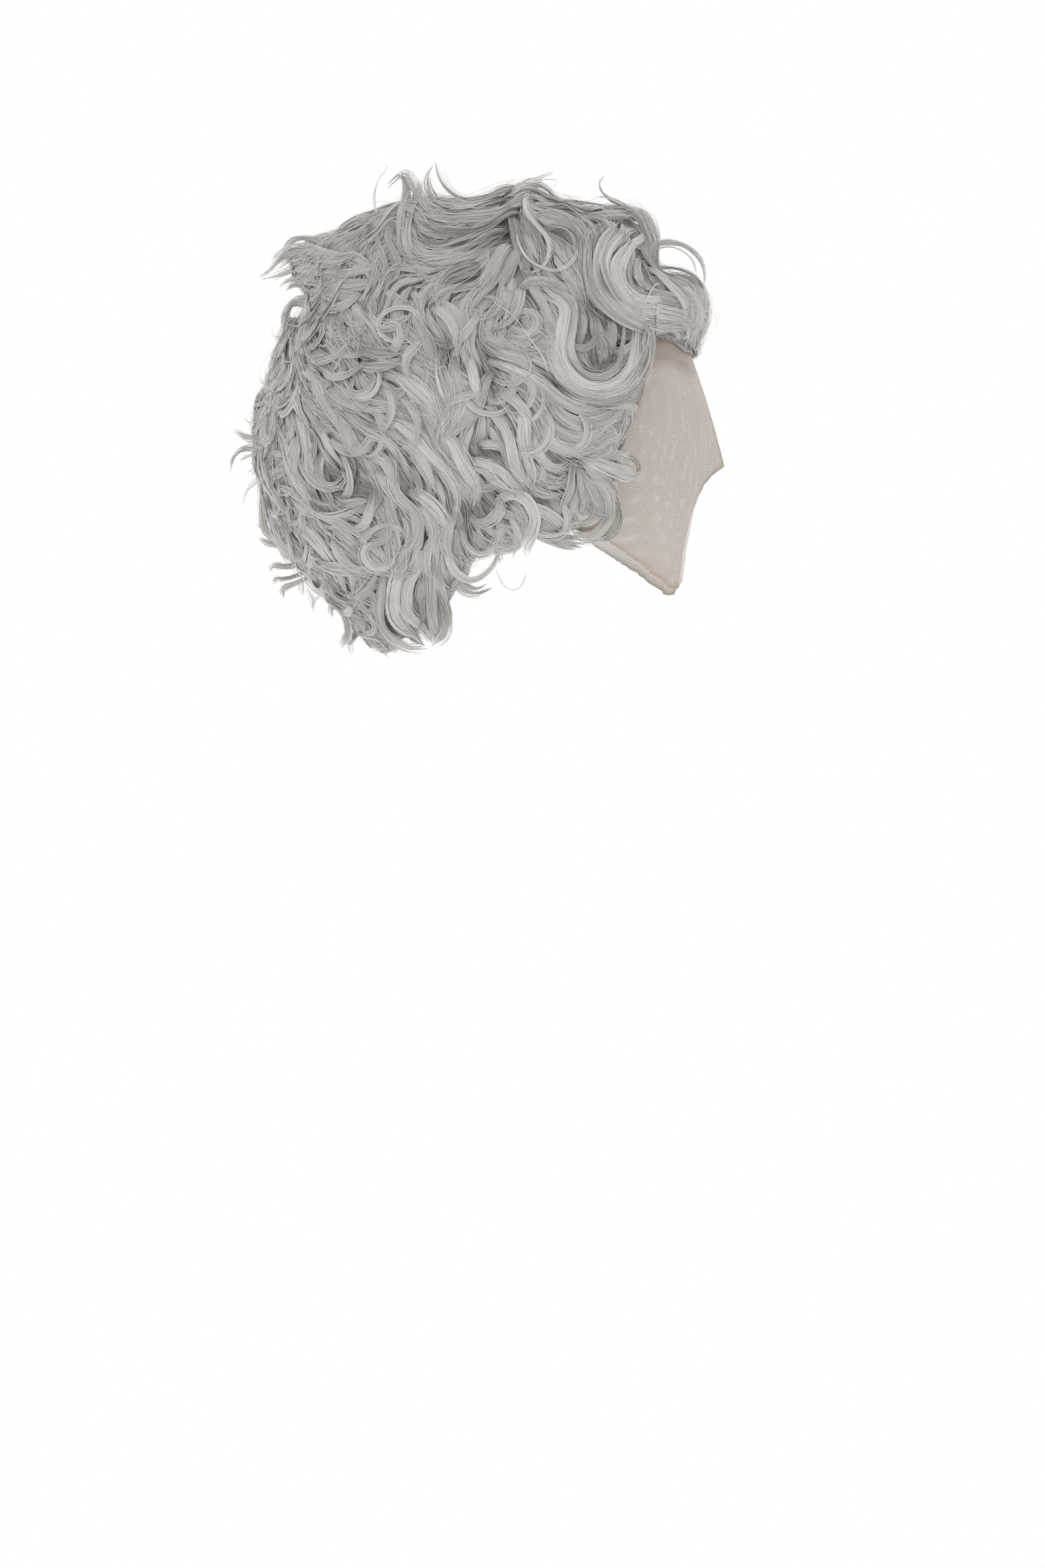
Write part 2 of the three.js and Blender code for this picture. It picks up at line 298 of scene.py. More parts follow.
FRONT_SWOOP = [
    Lock(8, 0, [(-8, 62), (-20, 61), (-28, 55), (-30, 44), (-30, 30), (-32, 16), (-38, 3), (-48, -6)]),
    Lock(8, 3, [(-46, 57), (-38, 50), (-33, 40), (-32, 25), (-37, 8), (-49, -5), (-67, -11), (-88, -12)]),
    Lock(8, 5, [(-58, 54), (-48, 48), (-40, 38), (-37, 25), (-41, 9), (-53, -3), (-70, -8), (-90, -10)]),
    Lock(8, 6, [(-65, 52), (-56, 46), (-46, 36), (-42, 24), (-46, 10), (-57, 0), (-73, -5), (-91, -8)]),
    Lock(7, 6, [(-70, 48), (-63, 42), (-53, 34), (-47, 24), (-49, 12), (-58, 3), (-73, -2), (-91, -5)]),
    Lock(5, 6, [(-69, 41), (-60, 37), (-53, 29), (-51, 20), (-54, 11), (-62, 3), (-76, -1), (-92, -3)]),
    Lock(6, 0, [(-61, 37), (-57, 28), (-58, 17), (-66, 7), (-78, 3), (-89, 2)]),
    Lock(6, 1, [(-64, 36), (-61, 27), (-64, 17), (-72, 10), (-83, 6), (-93, 4)]),
    Lock(6, 1, [(-67, 35), (-66, 27), (-70, 18), (-78, 13), (-89, 10), (-96, 6)]),
    Lock(6, 0, [(-70, 30), (-76, 24), (-84, 19), (-92, 14), (-98, 8)]),
    Lock(5, 7, [(-68, 27), (-77, 16), (-85, 6), (-91, -2), (-94, -9)]),
    Lock(3, 4, [(-82, -9), (-90, -12), (-92, -17), (-88, -21)]),
    Lock(3, 3, [(-74, -10), (-84, -14), (-88, -18), (-84, -20)]),
    Lock(3, 2, [(-66, -10), (-76, -14), (-82, -18), (-79, -20)]),
    Lock(1.2, 9, [(-78, 15), (-71, 12), (-66, 4), (-64, -4), (-65, -13)]),
]

FRINGE = [
    Lock(8, 3, [(-72, 30), (-84, 24), (-96, 19), (-103, 11), (-104, -2), (-101, -16), (-98, -28)]),
    Lock(8, 3, [(-78, 24), (-90, 19), (-98, 10), (-99, -4), (-96, -18), (-94, -27)]),
    Lock(8, 3, [(-84, 18), (-93, 9), (-97, -4), (-95, -17), (-91, -25)]),
    Lock(7, 3, [(-88, 12), (-94, 2), (-95, -9), (-92, -20)]),
    Lock(4, 0, [(-66, 34), (-74, 40), (-85, 41), (-95, 37), (-102, 29), (-104, 20), (-103, 13)]),
    Lock(2, 0, [(-70, 36), (-81, 39), (-92, 35), (-98, 28), (-99, 20)]),
    Lock(7, 1, [(-20, 62), (-36, 62), (-50, 62), (-58, 58), (-65, 52), (-69, 46), (-70.5, 40)]),
    Lock(7, 0, [(-28, 58), (-42, 58), (-54, 56), (-61, 50), (-65, 43)]),
    Lock(4, 0, [(-68, 53), (-60, 60), (-51, 66), (-44, 69), (-40, 73), (-39, 78), (-42, 82)]),
    Lock(2, 0, [(-56, 62), (-48, 66), (-42, 68.5), (-36, 69)]),
]

TOP_RINGS = [
    Lock(8, 0, [(4, 66), (-6, 64), (-16, 62), (-26, 57), (-30, 48)]),
    Lock(8, 0, [(2, 59), (-8, 58), (-18, 56), (-26, 50), (-29, 40), (-29, 28)]),
    Lock(7, -1, [(-2, 52), (-12, 51), (-21, 47), (-26, 39), (-27, 30), (-28, 18)]),
    Lock(3.2, 5, [
        (2, 80), (6, 71), (7, 63), (5, 55), (0, 49), (-6, 42), (-8, 34), (-5, 26), (2, 22), (8, 24),
        (12, 30),
    ]),
    Lock(2.6, 4, [
        (12, 46), (10, 38), (5, 29), (-3, 24), (-12, 22), (-20, 26), (-25, 33), (-26, 41),
        (-22, 48),
    ]),
    Lock(5, -4, [(-4, 44), (-10, 37), (-16, 30), (-22, 26)]),
    Lock(9, -3, [(15, 60), (11, 46), (7, 32), (3, 18)]),
    Lock(9, -3, [(6, 60), (1, 48), (-4, 36), (-6, 24)]),
    Lock(7, 0, [(12, 12), (4, 16), (-6, 16), (-14, 12), (-18, 6)]),
    Lock(6, -4, [(-12, 20), (-20, 12), (-26, 4), (-31, -5)]),
    Lock(6, 1, [(3, 79), (-6, 74), (-14, 68.5), (-28, 64.5), (-45, 63)]),
    Lock(6, 0, [(6, 76), (-4, 70), (-14, 65), (-28, 61), (-44, 59)]),
    Lock(6, 0, [(14, 71), (8, 75), (2, 78), (-4, 80)]),
    Lock(8, -1, [(22, 66), (13, 70), (5, 73), (-3, 72)]),
    Lock(8, -2, [(18, 62), (10, 66), (3, 69), (-5, 68)]),
    Lock(7, -1, [(10, 73), (2, 73), (-5, 70), (-12, 65)]),
    Lock(3, 0, [(12, 76), (4, 80), (-1, 80), (-7, 83), (-13, 85)]),
    Lock(1.5, 0, [(2, 79), (-5, 80), (-11, 80), (-15, 78)]),
    Lock(1.5, 0, [(0, 76), (-7, 73), (-11, 75), (-14, 79)]),
]

CROWN_SWEEP = [
    Lock(8, 0, [(6, 79), (18, 73), (32, 69), (44, 68), (53, 72), (59, 80), (62, 91)]),
    Lock(7, 0, [(6, 75), (20, 67), (36, 62), (50, 61), (60, 65), (66, 74), (67, 83), (64, 89)]),
    Lock(8, 0, [(8, 71), (22, 61), (38, 56), (54, 56), (66, 62), (74, 74), (80, 85), (86, 81), (91, 75)]),
    Lock(8, 0, [(10, 67), (24, 56), (40, 50), (56, 49), (68, 55), (74, 65), (76, 76)]),
    Lock(7, 3, [(10, 63), (22, 55), (34, 47), (46, 41), (58, 38), (68, 42), (75, 52)]),
    Lock(7, 3, [(18, 52), (30, 44), (42, 38), (54, 33), (66, 33), (75, 41), (79, 52)]),
    Lock(7, 0, [(26, 40), (38, 34), (50, 30), (62, 28), (72, 33), (79, 43), (82, 55)]),
    Lock(7, 3, [(30, 32), (42, 27), (54, 21), (62, 14), (62, 6), (58, 0)]),
    Lock(7, -1, [(34, 24), (46, 20), (58, 17), (68, 20), (77, 27), (83, 37)]),
    Lock(7, 0, [(30, 16), (42, 13), (54, 12), (63, 8), (66, 0)]),
    Lock(7, 2, [(76, 28), (79, 40), (78, 54), (75, 66), (72, 76), (72, 80)]),
    Lock(7, 1, [(84, 30), (83, 44), (81, 58), (79, 70), (80, 80), (84, 83), (90, 76)]),
    Lock(8, 1, [(88, 62), (92, 50), (90, 38), (84, 28), (86, 19), (96, 14)]),
    Lock(8, 0, [(95, 60), (99, 48), (97, 36), (92, 26), (94, 16)]),
    Lock(8, 0, [(102, 56), (106, 44), (104, 32), (98, 22), (100, 12)]),
    Lock(2, 0, [(97, 56), (99, 64), (99, 72), (96, 81), (90, 88), (95, 89)]),
    Lock(1.5, 0, [(76, 64), (73, 71), (72, 76), (72, 80)]),
    Lock(7, 2, [(14, 44), (20, 34), (26, 22), (34, 13), (44, 9)]),
    Lock(6, 1, [(28, 42), (31, 32), (28, 22), (30, 12)]),
    Lock(6, 0, [(8, 40), (14, 28), (20, 16), (24, 4)]),
    Lock(7, 3, [(8, 18), (10, 8), (11, 0), (16, -8), (26, -12), (36, -13)]),
    Lock(7, 1, [(18, 14), (18, 5), (24, -2), (34, -5)]),
]

BACK_FLICK = [
    Lock(8, 1, [(98, 52), (108, 46), (118, 38), (128, 41), (140, 43), (150, 41), (160, 31)]),
    Lock(9, 2, [(96, 40), (108, 34), (120, 29), (131, 31), (142, 35), (152, 33), (162, 25), (170, 20)]),
    Lock(8, 1, [(92, 30), (104, 24), (116, 22), (128, 22), (141, 24), (155, 22), (169, 19)]),
    Lock(6, 0, [(100, 56), (110, 53), (120, 48), (126, 43)]),
    Lock(8, 1, [(104, 49), (116, 43), (128, 38), (142, 39), (154, 33), (164, 24)]),
    Lock(7, 0, [(110, 40), (122, 35), (134, 35), (146, 31), (158, 25)]),
    Lock(2, 0, [(114, 40), (117, 46), (123, 48), (128, 44)]),
    Lock(8, 0, [(100, 18), (112, 14), (124, 15), (136, 18), (148, 18), (158, 14)]),
    Lock(4, 0, [(134, 5), (141, 12), (148, 15), (154, 11)]),
    Lock(8, 0, [(106, 8), (118, 6), (128, 9), (138, 5)]),
    Lock(8, 1, [(126, 0), (138, 4), (146, 5), (151, 0), (154, -10), (157, -20)]),
    Lock(8, 0, [(138, -6), (142, -16), (141, -28), (146, -36), (151, -41)]),
    Lock(8, 1, [(124, 2), (121, -10), (119, -22), (121, -34), (128, -44)]),
    Lock(8, 0, [(148, -8), (156, -20), (160, -32), (160, -44), (156, -54)]),
    Lock(7, 3, [(158, -48), (153, -58), (150, -68), (150, -78), (154, -86)]),
    Lock(2, 0, [(150, 2), (154, -2), (158, -6)]),
    Lock(2, 0, [(154, -8), (157, -13), (160, -19)]),
    Lock(3, 0, [(157, -20), (161, -27), (164, -34)]),
    Lock(3, 0, [(159, -32), (164, -39), (168, -46)]),
    Lock(4, 0, [(158, -52), (165, -57), (173, -59)]),
]

MIDDLE = [
    Lock(3.4, 4, [
        (70, -14), (71, -5), (77, 0), (85, 0), (93, -4), (96, -11), (93, -18), (86, -21), (77, -20),
        (71, -15),
    ]),
    Lock(6, 5, [(66, 0), (58, -2), (51, -8), (48, -17), (48, -25), (52, -31)]),
    Lock(6, 4, [(62, 3), (53, 0), (47, -7), (43, -15), (44, -23), (49, -30)]),
    Lock(6, 2, [(53, 7), (46, 1), (41, -6), (38, -14), (39, -22), (36, -31), (33, -40)]),
    Lock(7, 0, [(46, 5), (37, -5), (33, -15), (29, -23), (22, -29)]),
    Lock(2.5, 6, [(60, -28), (60, -38), (59, -46), (57, -54), (56, -60)]),
    Lock(9, 5, [(89, -37), (80, -43), (72, -49), (66, -55), (63, -62), (66, -68), (74, -71)]),
    Lock(6, 3, [(68, -14), (73, -22), (78, -31), (78, -40), (73, -47)]),
    Lock(5, 1, [(52, -36), (44, -43), (37, -48)]),
    Lock(6, 4, [(43, -27), (39, -36), (37, -44), (36, -53), (39, -59)]),
    Lock(7, 2, [(34, -49), (42, -54), (50, -57), (56, -62)]),
    Lock(3, 2, [(71, -30), (66, -35), (60, -37), (54, -35)]),
    Lock(7, 0, [(28, -38), (33, -51), (38, -63), (44, -76)]),
    Lock(7, 1, [(36, -58), (42, -68), (50, -76), (58, -79)]),
    Lock(8, 0, [(104, -40), (92, -50), (80, -58), (68, -61)]),
    Lock(8, 1, [(106, -54), (94, -60), (82, -65), (72, -70)]),
    Lock(8, -1, [(114, -33), (101, -36), (89, -35), (80, -31)]),
    Lock(8, -2, [(112, -24), (100, -27), (90, -28), (82, -26)]),
    Lock(4, 1, [(111, -38), (104, -46), (101, -54), (102, -61)]),
    Lock(8, 2, [(114, 6), (107, -4), (101, -12), (96, -21), (90, -26)]),
    Lock(7, 1, [(119, 2), (112, -9), (109, -19), (110, -30)]),
    Lock(5, 0, [(94, 13), (87, 7), (80, 3), (72, 2)]),
    Lock(4, 1, [(77, 13), (73, 5), (72, -3)]),
    Lock(6, 3, [(136, -37), (132, -48), (128, -58), (122, -67), (115, -77)]),
    Lock(5, 1, [(118, -34), (122, -42), (130, -49), (138, -52)]),
    Lock(4, 2, [(113, -38), (113, -48), (117, -56), (125, -58), (131, -54)]),
    Lock(8, -1, [(150, -38), (141, -44), (131, -46), (122, -42)]),
    Lock(8, -1, [(148, -52), (138, -57), (128, -56), (119, -50)]),
    Lock(8, -2, [(146, -62), (138, -70), (128, -73), (120, -68)]),
]

SIDE_FRONT = [
    Lock(7, 3, [
        (-4, 12), (-15, 10), (-23, 3), (-22, -12), (-20, -25), (-24, -36), (-32, -42), (-42, -42),
        (-50, -35), (-54, -22), (-55, -10), (-53, -1),
    ]),
    Lock(8, 5, [
        (2, 11), (-11, 8), (-18, -1), (-16, -15), (-15, -28), (-20, -39), (-30, -47), (-44, -47),
        (-55, -39), (-60, -25), (-62, -13), (-61, -5),
    ]),
    Lock(7, 3, [
        (-8, 4), (-12, -6), (-10, -18), (-10, -30), (-16, -42), (-27, -50), (-42, -52), (-56, -46),
        (-64, -33), (-67, -19), (-67, -9),
    ]),
    Lock(7, 1, [(-14, -46), (-26, -53), (-42, -56), (-58, -51), (-67, -38), (-71, -23), (-71, -12)]),
    Lock(6, -4, [(-28, 4), (-30, -8), (-28, -20), (-30, -32), (-36, -38)]),
    Lock(6, -5, [(-36, 0), (-38, -12), (-42, -24), (-40, -34)]),
    Lock(6, -5, [(-46, -4), (-48, -16), (-47, -28)]),
    Lock(7, 1, [(33, -20), (22, -28), (10, -32), (2, -40), (-4, -51), (-12, -61), (-24, -69)]),
    Lock(6, 2, [(31, -30), (18, -36), (6, -42), (-5, -48), (-15, -56), (-28, -62), (-44, -63), (-55, -57)]),
    Lock(7, 0, [(24, -38), (13, -44), (4, -52), (-3, -62), (-8, -72)]),
    Lock(7, 4, [(26, -48), (16, -54), (8, -60), (3, -68), (0, -79)]),
    Lock(7, 4, [(32, -58), (25, -66), (19, -74), (16, -82), (14, -92), (11, -103), (9, -113)]),
    Lock(6, 0, [(38, -14), (26, -19), (13, -21), (2, -19), (-7, -14)]),
    Lock(4, 2, [(19, -8), (10, -13), (2, -15), (-6, -14)]),
    Lock(7, -1, [(34, -22), (22, -25), (10, -27), (0, -27), (-8, -24)]),
    Lock(1, 8, [(26, 4), (12, -8), (2, -22), (-5, -32), (-9, -46)]),
    Lock(8, 2, [(-2, -58), (-6, -68), (-14, -76), (-26, -80), (-40, -76), (-53, -65)]),
    Lock(8, 1, [(-8, -54), (-14, -64), (-24, -70), (-36, -71), (-48, -66), (-58, -54)]),
    Lock(8, 2, [(0, -65), (-4, -77), (-13, -84), (-24, -87), (-36, -84), (-50, -76), (-59, -65)]),
    Lock(8, 0, [(-14, -54), (-26, -61), (-38, -63), (-50, -57), (-60, -46)]),
    Lock(7, 3, [(12, -57), (7, -68), (7, -80), (5, -92), (1, -103), (3, -112)]),
    Lock(7, 1, [(3, -72), (0, -84), (-6, -94), (-16, -98), (-24, -92)]),
    Lock(7, 0, [(5, -92), (0, -101), (-8, -106), (-17, -107), (-23, -99)]),
    Lock(7, -1, [(5, -102), (-1, -111), (-9, -114), (-18, -113)]),
    Lock(7, 5, [
        (-26, -88), (-35, -94), (-46, -98), (-56, -102), (-62, -101), (-63, -96), (-59, -92),
        (-52, -91),
    ]),
    Lock(6, 3, [(-28, -91), (-37, -100), (-47, -104), (-56, -104)]),
    Lock(6, 2, [(-27, -87), (-40, -88), (-51, -90), (-60, -95)]),
    Lock(8, 2, [
        (-30, -96), (-40, -104), (-48, -113), (-51, -123), (-49, -132), (-43, -139), (-34, -143),
        (-24, -142),
    ]),
    Lock(7, 2, [
        (-30, -97), (-38, -105), (-44, -114), (-45, -125), (-40, -134), (-32, -139), (-23, -137),
        (-19, -129),
    ]),
    Lock(7, 1, [(-29, -99), (-34, -108), (-38, -117), (-38, -126), (-33, -132), (-26, -132)]),
    Lock(6, -2, [(-27, -96), (-28, -107), (-29, -118), (-26, -127)]),
    Lock(9, -2, [(-24, -104), (-31, -114), (-38, -122), (-45, -121)]),
    Lock(9, -2, [(-21, -112), (-29, -121), (-36, -128), (-44, -129)]),
    Lock(6, 2, [(-24, -90), (-22, -101), (-21, -111), (-17, -121), (-18, -131)]),
]

LOWER_BACK = [
    Lock(8, 5, [(122, -61), (112, -69), (102, -76), (92, -80), (86, -87), (84, -96)]),
    Lock(6, 5, [(96, -68), (85, -70), (76, -77), (66, -87), (56, -97), (50, -107), (48, -118), (50, -129)]),
    Lock(8, 4, [(88, -82), (79, -83), (71, -90), (65, -99), (62, -109), (63, -117)]),
    Lock(7, 4, [(66, -77), (57, -77), (50, -84), (45, -93), (40, -104), (37, -114), (39, -123)]),
    Lock(7, 1, [(62, -90), (53, -98), (46, -106), (41, -116)]),
    Lock(6, 3, [(110, -92), (99, -91), (91, -94), (87, -103), (84, -113), (87, -122), (92, -128)]),
    Lock(7, 4, [
        (92, -86), (88, -97), (86, -107), (81, -116), (74, -124), (71, -132), (73, -141),
        (80, -148), (90, -149),
    ]),
    Lock(5, 4, [(106, -150), (104, -141), (98, -134), (90, -131), (83, -134), (80, -141)]),
    Lock(7, 4, [(83, -113), (72, -114), (63, -119), (57, -127), (55, -137), (58, -147)]),
    Lock(6, 2, [(74, -120), (66, -124), (62, -132), (62, -142), (68, -149)]),
    Lock(8, 4, [(52, -126), (54, -136), (54, -147), (49, -157)]),
    Lock(9, 4, [(42, -95), (32, -96), (23, -101), (14, -108), (7, -111)]),
    Lock(7, 3, [(44, -127), (35, -131), (27, -129), (21, -122), (24, -115)]),
    Lock(6, 2, [(36, -84), (27, -83), (19, -86), (16, -94)]),
    Lock(6, 5, [(54, -141), (53, -152), (47, -160), (38, -164), (29, -160), (24, -152), (24, -143)]),
    Lock(5, 4, [(47, -134), (43, -143), (35, -149), (27, -147), (22, -138)]),
    Lock(7, 5, [(25, -122), (18, -115), (10, -114), (4, -119), (1, -128), (3, -139), (7, -148), (5, -154)]),
    Lock(7, 2, [(16, -118), (9, -124), (7, -134), (11, -144), (14, -152)]),
    Lock(6, 3, [(7, -120), (-2, -122), (-10, -126), (-16, -132), (-22, -140)]),
    Lock(6, 1, [(22, -128), (22, -138), (25, -148), (22, -157)]),
    Lock(6, 0, [(4, -136), (-6, -141), (-16, -145), (-28, -146)]),
    Lock(6, 0, [(-2, -132), (-10, -138), (-18, -143), (-30, -144)]),
    Lock(1.5, 2, [(24, -160), (20, -168), (14, -172), (8, -168), (6, -159)]),
    Lock(6, 3, [(124, -64), (117, -72), (113, -81), (115, -89), (120, -94)]),
    Lock(6, 4, [(124, -87), (116, -93), (112, -102), (114, -111), (121, -118), (130, -121)]),
    Lock(6, 2, [(140, -78), (137, -90), (136, -101), (139, -110)]),
    Lock(5, 5, [(141, -111), (138, -120), (132, -125), (122, -127), (113, -124), (106, -117)]),
    Lock(4, 3, [(137, -123), (131, -131), (124, -134), (117, -130), (114, -122)]),
    Lock(7, 4, [(146, -72), (145, -82), (145, -93), (146, -101), (142, -108), (138, -114)]),
    Lock(7, 4, [(147, -78), (148, -88), (153, -97), (160, -102), (167, -99)]),
    Lock(6, 1, [(150, -66), (156, -76), (163, -81), (169, -79)]),
    Lock(8, 0, [(165, -66), (168, -78), (167, -90), (165, -102)]),
    Lock(7, -1, [(128, -84), (133, -94), (131, -104), (124, -110)]),
    Lock(7, 0, [(104, -96), (98, -104), (96, -114), (99, -124)]),
    Lock(7, 1, [(98, -98), (92, -106), (88, -114), (84, -124)]),
    Lock(7, 0, [(112, -128), (106, -134), (106, -144), (111, -152)]),
    Lock(7, -2, [(80, -96), (75, -104), (72, -112), (76, -118)]),
    Lock(5, 3, [(139, -118), (143, -126), (141, -134), (147, -140)]),
    Lock(8, 1, [(152, -126), (146, -137), (143, -148), (148, -158)]),
    Lock(8, 4, [(139, -142), (133, -151), (124, -157), (112, -160), (99, -160)]),
    Lock(7, 4, [(125, -138), (120, -149), (111, -157), (99, -160)]),
    Lock(7, 1, [(116, -140), (110, -149), (102, -155)]),
    Lock(6, 0, [(166, -98), (168, -112), (169, -124), (167, -134), (161, -139), (153, -138), (146, -133)]),
    Lock(4, 0, [(163, -102), (164, -117), (162, -129), (157, -134)]),
    Lock(5, 0, [(158, -102), (157, -116), (158, -128), (152, -136)]),
    Lock(4, 0, [(163, -88), (172, -86), (180, -86), (186, -91), (188, -100)]),
    Lock(4, 0, [(162, -82), (171, -80), (179, -78), (186, -74)]),
    Lock(3, 0, [(168, -88), (177, -90), (184, -94)]),
    Lock(6, 0, [(158, -60), (166, -68), (171, -80), (167, -95), (157, -103), (147, -96)]),
    Lock(3, 0, [(166, -103), (174, -107), (179, -114), (181, -121)]),
    Lock(3.5, 0, [(154, -145), (163, -144), (171, -141)]),
    Lock(2, 0, [(165, -90), (171, -97), (178, -101)]),
    Lock(1.5, 0, [(167, -96), (173, -100), (176, -105)]),
]

NAPE = [
    Lock(8, 1, [(133, -158), (129, -169), (121, -177), (111, -180), (102, -175), (97, -166)]),
    Lock(8, 2, [(128, -156), (124, -167), (116, -174), (107, -174), (100, -167), (98, -159)]),
    Lock(7, 1, [(124, -178), (114, -184), (103, -189), (92, -190)]),
    Lock(7, 0, [(118, -185), (109, -192), (99, -197), (91, -201)]),
    Lock(6, 0, [(113, -197), (105, -200), (96, -204), (88, -209)]),
    Lock(8, 5, [(96, -160), (94, -173), (94, -186), (90, -198), (83, -206), (74, -209), (66, -207)]),
    Lock(8, 5, [(79, -153), (85, -164), (86, -177), (83, -189), (76, -199), (70, -204)]),
    Lock(8, 5, [(71, -155), (77, -166), (78, -179), (73, -190), (67, -199), (68, -206)]),
    Lock(7, 2, [(66, -157), (64, -171), (63, -184), (62, -196), (67, -206)]),
    Lock(8, 1, [(61, -160), (58, -174), (55, -188), (56, -199), (64, -207)]),
    Lock(7, -2, [(90, -158), (90, -172), (88, -186), (86, -198)]),
    Lock(7, -3, [(70, -164), (71, -176), (70, -188), (74, -200)]),
    Lock(9, -2, [(98, -172), (90, -188), (80, -200), (68, -206)]),
    Lock(9, -2, [(80, -168), (77, -184), (72, -196), (64, -205)]),
    Lock(9, -2, [(66, -172), (62, -186), (60, -198), (64, -206)]),
    Lock(9, -2, [(108, -182), (98, -194), (88, -203), (78, -208)]),
    Lock(9, -4, [(72, -178), (68, -192), (62, -204)]),
    Lock(9, -4, [(84, -184), (78, -197), (70, -207)]),
    Lock(9, -4, [(60, -174), (58, -189), (60, -203)]),
    Lock(7, 0, [(62, -147), (63, -158), (58, -168), (50, -176)]),
    Lock(5, 0, [(52, -166), (44, -173), (36, -176), (27, -172)]),
    Lock(5, -1, [(54, -156), (46, -168), (38, -172), (30, -168)]),
    Lock(4.5, 0, [(147, -158), (156, -158), (162, -158), (165, -162)]),
    Lock(4.5, 0, [(144, -163), (153, -166), (160, -165), (161, -168)]),
    Lock(4, 0, [(144, -168), (152, -170), (156, -173), (155, -178)]),
    Lock(3, 0, [(143, -166), (144, -172), (143, -177)]),
    Lock(3, 0, [(141, -172), (138, -179), (137, -187)]),
    Lock(1.5, 0, [(128, -172), (134, -177), (137, -183)]),
    Lock(4, 0, [(117, -180), (123, -179), (126, -184), (125, -190)]),
    Lock(3, 0, [(112, -196), (115, -202), (114, -209), (112, -215)]),
    Lock(2, 0, [(100, -204), (94, -211), (88, -216)]),
]

READ_LOCKS = (
    FRONT_SWOOP + FRINGE + TOP_RINGS + CROWN_SWEEP + BACK_FLICK + MIDDLE + SIDE_FRONT + LOWER_BACK + NAPE
)

# How many degrees higher than the frame's hairline the hair starts, by azimuth from the front's middle,
# and how thick the hair is there
HAIRLINE_AZIMUTHS = (0, 12, 20, 30, 40, 45, 51)
HAIRLINE_RAISES = (0, 0, 5, 9, 11, 7, 0)
HAIRLINE_THICKNESS = 3.0
THICKER_PER_DEGREE = 1.4
FULLER_THICKNESS = 9.0
FULLER_RAISE = 9.0

# The hair on the wearer's left ends this many degrees higher, so that less of its inside shows from the
# right.
LEFT_RAISE = 7.0
LEFT_AZIMUTH = -110.0
LEFT_HALF_AZIMUTH = 26.0
LEFT_EASE = 12.0
RAISE_EASE = 4.0
RAISE_SLACK = 20.0
EDGE_SLACK = 0.6

# Hollows between the locks, where the hair sinks and is painted darker as painted shade, and dents in the
# hair's outline, in the same side view
Spot = namedtuple("Spot", "y z radius depth")
HOLLOWS = [
    Spot(-55, 14, 7, 6), Spot(-75, 0, 7, 6), Spot(-33, 3, 6, 6), Spot(-45, -4, 6, 6), Spot(-58, -12, 6, 6),
    Spot(15, 52, 7, 6), Spot(-33, -12, 8, 7), Spot(-40, -30, 8, 7), Spot(-20, -50, 8, 6), Spot(55, -23, 7, 6),
    Spot(98, -28, 8, 6), Spot(120, -104, 8, 6), Spot(105, -112, 7, 6), Spot(70, -175, 6, 6),
    Spot(90, -172, 6, 6), Spot(85, -195, 5, 6), Spot(28, -118, 6, 6), Spot(40, -125, 6, 6),
    Spot(75, -108, 6, 6), Spot(-26, -105, 6, 6), Spot(-3, -116, 6, 6), Spot(30, -32, 8, 6),
    Spot(30, -90, 7, 6),
]
DENTS = [
    Spot(-84, 36, 9, 12), Spot(-97, 24, 7, 4), Spot(-13, 77, 7, 12), Spot(-32, 73, 10, 8),
    Spot(-48, 69, 9, 5), Spot(-77, 38, 7, 12), Spot(151, 9, 7, 11), Spot(42, 74, 10, 4),
    Spot(162, -40, 14, 5), Spot(146, -174, 14, 6), Spot(126, -194, 12, 5),
]


# The hair's form, as distances from the middle of the cap

def point_at(azimuth, angle, distance):
    """Points at an azimuth (0 the front, 90 the wearer's right) and an angle down from straight up."""
    turn, down = np.radians(azimuth), np.radians(angle)
    away = np.stack([-np.sin(down) * np.sin(turn), -np.sin(down) * np.cos(turn), np.cos(down)], -1)
    return CAP_MIDDLE + away * np.asarray(distance)[..., None]


def polar_of(points):
    """The azimuth, angle and distance of points."""
    away = points - CAP_MIDDLE
    distance = np.linalg.norm(away, axis=-1)
    angle = np.degrees(np.arccos(np.clip(away[..., 2] / distance, -1, 1)))
    azimuth = np.degrees(np.arctan2(-away[..., 0], -away[..., 1]))
    return azimuth, angle, distance


def tree_of(names):
    """One search tree over the meshes of several nodes."""
    vertices, faces = [], []
    for name in names:
        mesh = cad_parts[name].data
        first = len(vertices)
        vertices += [v.co.copy() for v in mesh.vertices]
        faces += [[first + i for i in p.vertices] for p in mesh.polygons]
    return BVHTree.FromPolygons(vertices, faces)


def outer_distance(tree, azimuth, angle, facing=0.3):
    """Distance from the cap's middle to the outermost skin in one direction, or None where there is none
    or it is too nearly edge-on."""
    start = Vector(point_at(azimuth, angle, FAR_OUT) * MM)
    inward = (Vector(CAP_MIDDLE * MM) - start).normalized()
    place, normal, _, travelled = tree.ray_cast(start, inward, FAR_OUT * MM)
    if place is None or normal.dot(inward) > -facing:
        return None
    return FAR_OUT - travelled / MM


def inner_distance(tree, azimuth, angle):
    """Distance from the cap's middle to the innermost skin in one direction, or 0 where there is none."""
    away = Vector(point_at(azimuth, angle, 1.0) - CAP_MIDDLE)
    return (tree.ray_cast(Vector(CAP_MIDDLE * MM), away)[3] or 0.0) / MM


